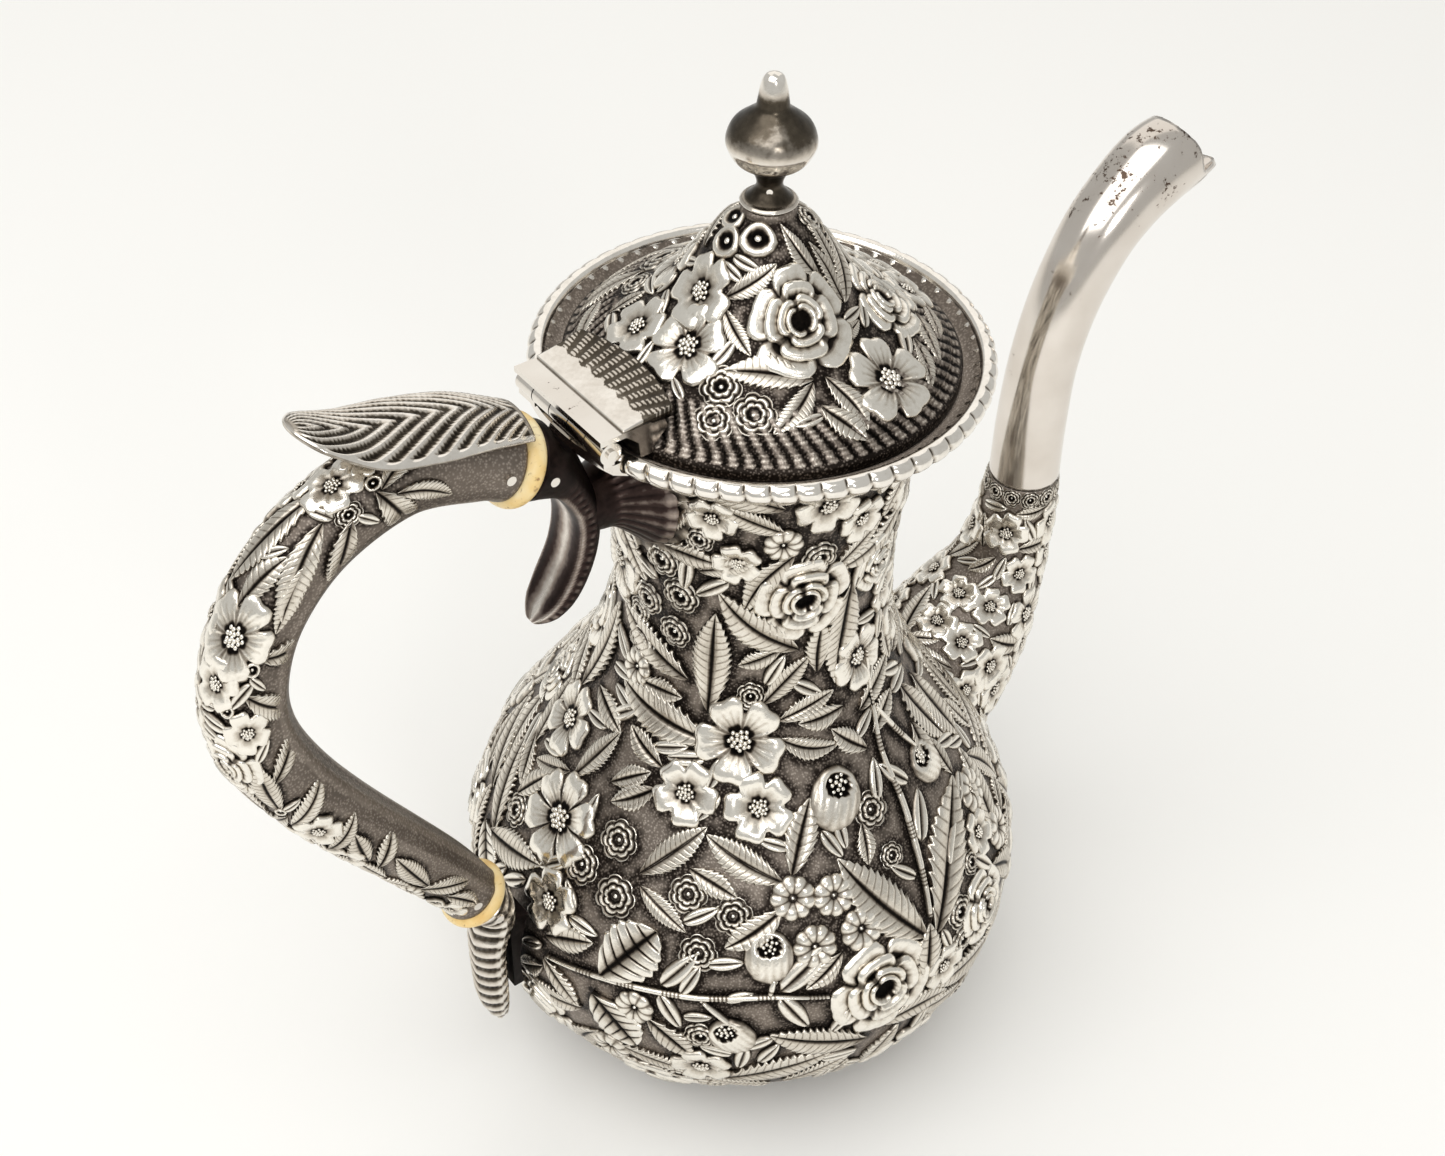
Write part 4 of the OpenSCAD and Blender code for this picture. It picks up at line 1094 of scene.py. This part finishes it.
LID_LEAVES = {
    "leaf": [(-80, 14.5, -106, 6), (-58, 15, -46, 6.5), (-159, 16, -119, 11.5), (-157, 17, -134, 22),
        (-107, 26.5, -124, 35), (-49, 30, -64, 37), (149, 37, 129, 34), (-88, 22, -66, 21),
        (-20, 34, -40, 35.5), (95, 16, 108, 26), (45, 33, 62, 36)],
    "right_leaf": [(-106, 26, -146, 22.5)],
    "left_leaf": [(-101, 26, -90, 36)],
    "short_leaf": [(141, 18, 126, 13), (142, 31, 137, 24)],
}
lid_bed.grow_all(LID_LEAVES, lid_along)
lid_bed.scatter([("small_blossom", 150, (0.8, 0.95)), ("leaf", 700, (0.55, 0.75)),
                 ("left_leaf", 300, (0.5, 0.7)), ("right_leaf", 300, (0.5, 0.7)),
                 ("rosette", 200, (0.7, 0.85)), ("short_leaf", 900, (0.7, 0.95)),
                 ("sprig", 900, (0.7, 1.0))], lid_along(33), lid_along(6.2), 0.18)
LID_GROUPS = {"flowers": ["rose", "small_rose", "blossom", "small_blossom", "rosette"],
              "leaves": ["leaf", "left_leaf", "right_leaf", "short_leaf", "sprig", "cup"]}
for piece in lid_bed.gathered("lid", LID_GROUPS):
    finish_piece(piece, CHASED, "lid", "chased_silver")


def lid_wall(turn, up):
    outer = up <= 0.8
    along = LID.length * np.where(outer, np.clip(up / 0.8, 0, 1), 1 - np.clip((up - 0.8) / 0.19, 0, 1))
    r = np.interp(along, LID.run, LID.line[:, 0])
    sunk = LID_SUNK * ease(5.2, 6.4, r) * (1 - 0.35 * ease(FLUTE_IN - 0.8, FLUTE_IN + 0.5, r))
    sunk = sunk * (1 - ease(FLUTE_OUT - 1, FLUTE_OUT + 0.3, r))
    twist = turn - (r - FLUTE_IN) / 50
    part, off = petal_share(twist, LID_FLUTES)
    zone = ease(FLUTE_IN, FLUTE_IN + 0.7, r) * (1 - ease(FLUTE_OUT - 0.5, FLUTE_OUT, r))
    height = np.where(outer, -sunk - 0.6 * zone * off**2, -3.6 + 1.5 * ease(35.5, 39, r))
    points = LID.raised(turn, along, height)
    points[up > 0.995] = LID.spot(turn, along)[up > 0.995]
    tone = 0.34 + 0 * r
    # The ground takes painted shade beside the motifs
    ground = outer & (r < FLUTE_IN) & (r > 5)
    tone[ground] = lid_bed.shade(points[ground])
    tick = np.cos(2 * math.pi * along / 0.95) > 0.1
    tone = np.where(outer & (zone > 0.2), 0.1 + (0.5 + 0.5 * tick) * ease(0.8, 0.35, off), tone)
    return points, np.where(outer & (r > FLUTE_OUT), 0.3, tone)


dome = bent_sheet("lid_ground", LID_FLUTES * 6, 130, lid_wall)
finish_piece(dome, MATTED, "lid", "chased_silver", "lid_dome")

# Radius and height above the lid
FINIAL = [(5.2, 0), (5.2, 0.7), (4.5, 1), (3.4, 2.1), (2.6, 3.3), (2.6, 4.6), (3.3, 6.2), (4.4, 7.4),
          (6.8, 9), (8.25, 11.35), (8.5, 13.2), (7.5, 15.8), (5.3, 17.7), (3.4, 19.3), (2.9, 21.1),
          (2.5, 23.5), (1.7, 25.6), (0, 26.4)]


# The term in the turn makes the upper bulb lighter on the side turned to the camera and the lamps: a painted
# highlight
def finial_tone(turn, z):
    h = z - LID_TOP
    return (0.75 * bump(h - 11, 2.6) + 0.85 * ease(21, 24, h) + 0.7 * ease(1.4, 0.2, h) + 0.1
            + 0.22 * np.cos(turn + 2.2) * bump(h - 16, 4))


finial_line = [(0, LID_TOP)] + [(r, LID_TOP + h) for r, h in FINIAL]
finial = turned_sheet("finial_turning", finial_line, 72, 5, finial_tone)
finish_piece(finial, FINIAL_SILVER, "lid", "polished_silver", "finial")


# ---- leaf of the hinge: plain by the barrel, a fan of matted rays beyond ----
def leaf_face(x, y):
    back, front, half = -43.4, -30.2, 14.4
    px = back + (front - back) * (x + 1) / 2
    fan_out = ease(-39.5, front, px)
    py = half * y * (1 + 0.03 * fan_out)
    rays = np.cos(88 * np.arctan2(py, px + 72))
    edge = -38.6 + 0.4 * np.cos(7 * math.pi * y)
    zone = ease(edge - 0.2, edge + 0.4, px)
    px = px - 2.6 * y**2 * fan_out
    bars = np.cos(2 * math.pi * (px - back) / 0.9) > 0
    height = 0.45 + 0.16 * (px - back) + 0.08 * zone * rays
    tone = np.where(zone > 0.5, 0.3 + 0.45 * (rays > -0.1) * bars - 0.16 * fan_out, 0.85)
    return px, py, height, tone


plate = chased(strip_blank("hinge_leaf_fan", 60, 130), leaf_face)
spots = points_of(plate)
spots[:, 2] = np.maximum(spots[:, 2], -0.3) + 193.6
move_points(plate, spots * MM)
finish_piece(plate, FINIAL_SILVER, "lid", "polished_silver")

# ---- spout: chased root and plain pipe ----
ROOT_SUNK = 1.3
root_bed = Bed(ROOT, ROOT_SUNK, 0.85)
root_end = ROOT.length
# A ring of twelve rosettes under the pipe, then flowers: angle, distance below the pipe, size and spin
ROOT_FLOWERS = {
    "rosette": [(i * 30, 2.7, 0.53, i * 40) for i in range(12)],
    "blossom": [(120, 20, 0.62, 0), (-150, 20, 0.6, 0), (100, 34, 0.7, 0)],
    "small_blossom": [(70, 24, 0.75, 30), (160, 23, 0.72, 0), (-100, 24, 0.75, 0)],
}
root_bed.set_out(ROOT_FLOWERS, lambda below: root_end - below)
root_bed.scatter([("small_blossom", 200, (0.75, 0.9)), ("cup", 20, (0.8, 1.0)), ("leaf", 500, (0.5, 0.75)),
                  ("cup", 30, (0.8, 1.0)), ("short_leaf", 900, (0.6, 0.9)), ("sprig", 700, (0.7, 1.0)),
                  ("small_cup", 40, (0.8, 1.0))], 8, root_end - 2, 0.24)
ROOT_GROUPS = {"flowers": ["blossom", "small_blossom", "rosette", "cup", "small_cup"],
               "leaves": ["leaf", "short_leaf", "sprig"]}
for piece in root_bed.gathered("spout_root", ROOT_GROUPS):
    finish_piece(piece, CHASED, "pot", "chased_silver")


def root_wall(turn, up):
    outer = up <= 0.7
    along = root_end * np.where(outer, np.clip(up / 0.7, 0, 1), 1 - np.clip((up - 0.7) / 0.29, 0, 1))
    sunk = ROOT_SUNK - 0.3 * ease(root_end - 2, root_end, along)
    points = ROOT.raised(turn, along, np.where(outer, -sunk, -ROOT_SUNK - 1.0))
    points[up > 0.995] = ROOT.raised(turn, along, -sunk)[up > 0.995]
    # The ground takes painted shade beside the motifs
    return points, root_bed.shade(points, 1.2)


root = bent_sheet("spout_root_ground", 120, 110, root_wall)
finish_piece(root, MATTED, "pot", "chased_silver", "spout_root")


# Where each line along the pipe meets the cut that opens the mouth
def spout_ends(turns):
    runs = np.linspace(0, SPOUT.length, 600)
    ends = []
    for turn in turns:
        spot = SPOUT.spot(np.full(600, turn), runs)
        limit = np.interp(spot[:, 2], MOUTH_CUT[::-1, 1], MOUTH_CUT[::-1, 0])
        past = np.where(spot[:, 0] > limit)[0]
        ends.append(runs[past[0]] if len(past) else SPOUT.length)
    return np.array(ends)


def spout_pipe(turn, up):
    grid_turns = np.linspace(-math.pi, math.pi, 361)
    end = np.interp(turn, grid_turns, spout_ends(grid_turns))
    outer = up <= 0.5
    along = end * np.where(outer, up / 0.5, 1 - np.clip((up - 0.52) / 0.47, 0, 1))
    height = np.where(outer | (up > 0.995), 0.0, -0.9)
    return SPOUT.raised(turn, np.maximum(along, 0.05), height), 0.8 + 0 * up


pipe = bent_sheet("spout_pipe", 72, 200, spout_pipe)
finish_piece(pipe, SPOUT_SILVER, "pot", "polished_silver", "spout_tube")

# ---- handle ----
HANDLE_SUNK = 1.4
handle_bed = Bed(HANDLE, HANDLE_SUNK, 0.66)
# Flowers and leaves: angle, distance from the upper joint, size and spin
HANDLE_WORK = {
    "blossom": [(146, 61, 0.82, 0)],
    "rose": [(158, 88, 0.66, 0)],
    "leaf": [(135, 38, 0.72, 20), (170, 36, 0.72, -10), (110, 44, 0.55, 10), (160, 104, 0.75, 185),
        (130, 103, 0.6, 170), (190, 106, 0.7, 190)],
    "small_blossom": [(150, 128, 0.75, 0), (-146, 61, 0.8, 0), (-160, 84, 0.8, 0)],
    "short_leaf": [(120, 132, 0.8, 160), (170, 134, 0.8, 190), (140, 142, 0.8, 180)],
    "daisy": [(150, 152, 0.75, 0)],
    "cup": [(140, 161, 0.9, 0)],
}
handle_bed.set_out(HANDLE_WORK)
handle_bed.scatter([("small_blossom", 150, (0.65, 0.8)), ("leaf", 700, (0.5, 0.75)),
                    ("short_leaf", 800, (0.6, 0.9)), ("rosette", 150, (0.5, 0.7)), ("sprig", 700, (0.6, 0.9)),
                    ("small_cup", 200, (0.7, 0.9))], 26, HANDLE.length - 4, 0.15, (105, 255))
HANDLE_GROUPS = {"flowers": ["blossom", "small_blossom", "rose", "rosette", "daisy", "cup", "small_cup"],
                 "leaves": ["leaf", "short_leaf", "sprig"]}
for piece in handle_bed.gathered("handle", HANDLE_GROUPS):
    finish_piece(piece, CHASED, "pot", "chased_silver")


def handle_wall(turn, up):
    ends = (up < 0.001) | (up > 0.999)
    along = HANDLE.length * np.clip((up - 0.005) / 0.99, 0, 1)
    sunk = HANDLE_SUNK * ease(0, 8, along) * ease(HANDLE.length, HANDLE.length - 5, along)
    # The inner face is drawn into nine fine strands
    strand, inner = np.cos(9 * turn + along * 0.06), np.cos(turn)
    height = 0.18 * strand * ease(0.2, 0.8, inner) * ease(0, 20, along) - 0.2 - sunk * ease(0.9, 0.2, inner)
    points = HANDLE.raised(turn, np.clip(along, 0.1, HANDLE.length - 0.1), height)
    points[ends] = HANDLE.middle(along)[ends]
    # The ground takes painted shade beside the motifs
    tone = handle_bed.shade(points, 1.5, 0.1, 0.6)
    return points, tone + ease(0.2, 0.7, inner) * (0.12 - 0.16 * (strand < 0))


grip = bent_sheet("handle_ground", 108, 230, handle_wall)
finish_piece(grip, MATTED, "pot", "chased_silver", "handle_body")


# ---- thumb leaf: flutes that sweep from the root to the curled tip ----
def thumb_leaf(turn, up):
    along = rows_along(THUMB, up)
    share = -np.sin(turn)
    top = ease(-0.1, 0.3, -np.cos(turn))
    # The veins run back from the middle line and sweep out to either edge
    sweep = 4.5 * np.abs(share + 0.15) - 11 * up**0.85
    flute = np.cos(2 * math.pi * sweep)
    edge = ease(0.86, 0.97, np.abs(share))
    live = (1 - edge) * ease(0, 0.1, up) * (1 - ease(0.92, 1, up)) * top
    height = (-0.4 + 0.36 * flute) * live
    points = tipped(THUMB, turn, up, height, 0.1)
    # The sides droop to hug the handle at the root
    points[:, 2] -= 3.4 * (points[:, 1] / 9.8) ** 2 * (1 - 0.55 * up)
    beaded = np.cos(2 * math.pi * along / 0.95) * np.cos(2 * math.pi * sweep * 2)
    tone = 0.45 + 0.6 * flute + 0.3 * beaded * (flute < 0.5)
    tone = np.where(live > 0.2, tone, 0.45)
    return points, np.where(edge * top > 0.4, 0.95, tone)


thumb = bent_sheet("thumb_leaf_veined", 120, 110, thumb_leaf)
finish_piece(thumb, FINIAL_SILVER, "pot", "chased_silver", "thumb_leaf")


# ---- upper scroll: a channel down its outer face between two stippled ridges ----
def scroll_shape(turn, up):
    along = rows_along(SCROLL, up)
    away = math.pi - np.abs(turn)
    begun = ease(7, 12, along)
    channel = bump(away, 0.62) * begun
    ridge = bump(away - 1.0, 0.16) * begun
    rung = (np.cos(2 * math.pi * along / 1.9) < -0.35) * bump(away - 1.5, 0.26) * begun
    height = -1.5 * channel - 0.25 - 0.3 * rung + 0.3 * ridge
    points = tipped(SCROLL, turn, up, height, 0.1)
    # Room for the lid's leaf, which turns down past the scroll
    dx, dz = points[:, 0] - HINGE_X, points[:, 2] - HINGE_Z
    scale = np.maximum(1, LEAF_SWING / np.maximum(np.hypot(dx, dz), 0.1))
    points[:, 0], points[:, 2] = HINGE_X + dx * scale, HINGE_Z + dz * scale
    stipple = 0.5 + 0.5 * np.cos(2 * math.pi * along / 0.9) * np.cos(turn * 40)
    # The middle of the sunk channel is made light: a painted highlight
    tone = 0.1 + 0.85 * bump(away + 0.1, 0.5) * ease(7, 13, along) + ridge * (0.4 + 0.4 * stipple)
    tone = tone + 0.3 * bump(away - 1.5, 0.3) * begun * (1 - rung) + 0.35 * ease(0.86, 1, up) * begun
    return points, tone


scroll = bent_sheet("upper_scroll", 96, 140, scroll_shape)
finish_piece(scroll, DARK_SILVER, "pot", "tarnished_silver", "upper_socket")


# ---- upper mount: a fluted trumpet to the neck ----
# Radius, and distance towards the neck
MOUNT_LINE = smooth_line([(0.5, -3.4), (5.9, -3.4), (6.6, -0.4), (7.4, 3), (10.4, 6.5), (13.6, 9.6),
                          (13, 11.5), (0.5, 11.5)], 8)


def mount_shape(turn, up):
    at = up * (len(MOUNT_LINE) - 1)
    r, x = (np.interp(at, np.arange(len(MOUNT_LINE)), MOUNT_LINE[:, k]) for k in (0, 1))
    r = np.where((up < 0.001) | (up > 0.999), 0, r)
    part, off = petal_share(turn, 26)
    zone = ease(1, 3, x)
    r = r - 0.35 * zone * off**2
    y, z = r * np.sin(turn), MOUNT_Z + r * np.cos(turn)
    # The trumpet ends inside the neck's wall
    inside = -np.sqrt(np.maximum((body_radius(z) - 2.6) ** 2 - y**2, 1))
    return (np.stack([np.minimum(MOUNT_X + x, inside), y, z], 1),
            0.12 + 0.3 * zone * (1 - off**1.5) + 0.25 * ease(8.6, 9.6, x))


mount = bent_sheet("upper_mount_flutes", 156, 56, mount_shape)
finish_piece(mount, DARK_SILVER, "pot", "tarnished_silver", "upper_mount")


# ---- lower tail: bands that slant across, each with its row of punched crescents ----
def tail_shape(turn, up):
    along = rows_along(TAIL, up)
    slant = along / 3.4 + 0.9 * np.abs(np.sin(turn)) * np.sign(-np.cos(turn))
    band = np.cos(2 * math.pi * slant)
    dots = np.cos(turn * 22) * bump((slant % 1) - 0.5, 0.12)
    edge = bump(np.abs(np.sin(turn)) - 1, 0.05)
    height = -0.35 + 0.3 * band * (1 - edge) - 0.12 * (dots > 0.4)
    points = tipped(TAIL, turn, up, height * ease(0, 6, along) - 0.05, 0.12)
    return points, 0.45 + 0.38 * band - 0.3 * (dots > 0.4) + 0.3 * edge


tail = bent_sheet("lower_tail_banded", 132, 120, tail_shape)
finish_piece(tail, FINIAL_SILVER, "pot", "tarnished_silver", "lower_socket")

# ---- solids that stay as they are ----
for motif in MOTIFS.values():
    bpy.data.objects.remove(motif.piece, do_unlink=True)

OWN_FINISH = {
    POLISHED: ["base_disc", "lid_seat_ring", "lid_bezel", "finial_peg", "finial_pin", "hinge_lid_leaf",
               "lid_knuckles", "hinge_body_leaf", "body_knuckles", "hinge_pin", "upper_handle_pin",
               "upper_socket_pin", "lower_handle_pin", "lower_socket_pin"],
    BONE: ["upper_insulator", "lower_insulator"],
    DARK_SILVER: ["lower_mount"],
}
for material, names in OWN_FINISH.items():
    for name in names:
        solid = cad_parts[name]
        solid.data.materials.clear()
        solid.data.materials.append(material)


# ---- table and light ----
# Place and size in metres, power in watts, colour
LAMPS = [((-0.7, -0.2, 1.5), 1.7, 17, "ffffff"), ((0.8, 0.95, 1.25), 1.7, 4.5, "fffaf4"),
         ((-0.5, -1.3, 0.8), 0.3, 3, "ffffff")]


def studio():
    drop_selection()
    bpy.ops.mesh.primitive_plane_add(size=8, location=(0, 0, -0.0003))
    floor = named("table")
    material, _, face = started("white_paper_sweep")
    face.inputs["Base Color"].default_value = paint("f7f6f3")
    face.inputs["Roughness"].default_value = 0.9
    floor.data.materials.append(material)
    for place, size, power, colour in LAMPS:
        bpy.ops.object.light_add(type="AREA", location=place)
        lamp = bpy.context.object
        lamp.rotation_euler = (Vector((0, 0, 0.1)) - Vector(place)).to_track_quat("-Z", "Y").to_euler()
        lamp.data.size = size
        lamp.data.energy = power
        lamp.data.color = paint(colour)[:3]
    world = bpy.context.scene.world or bpy.data.worlds.new("studio")
    bpy.context.scene.world = world
    world.use_nodes = True
    sky = world.node_tree.nodes["Background"]
    sky.inputs["Color"].default_value = paint("c4c4c2")
    sky.inputs["Strength"].default_value = 1.0
    bpy.context.scene.view_settings.view_transform = "Standard"


studio()
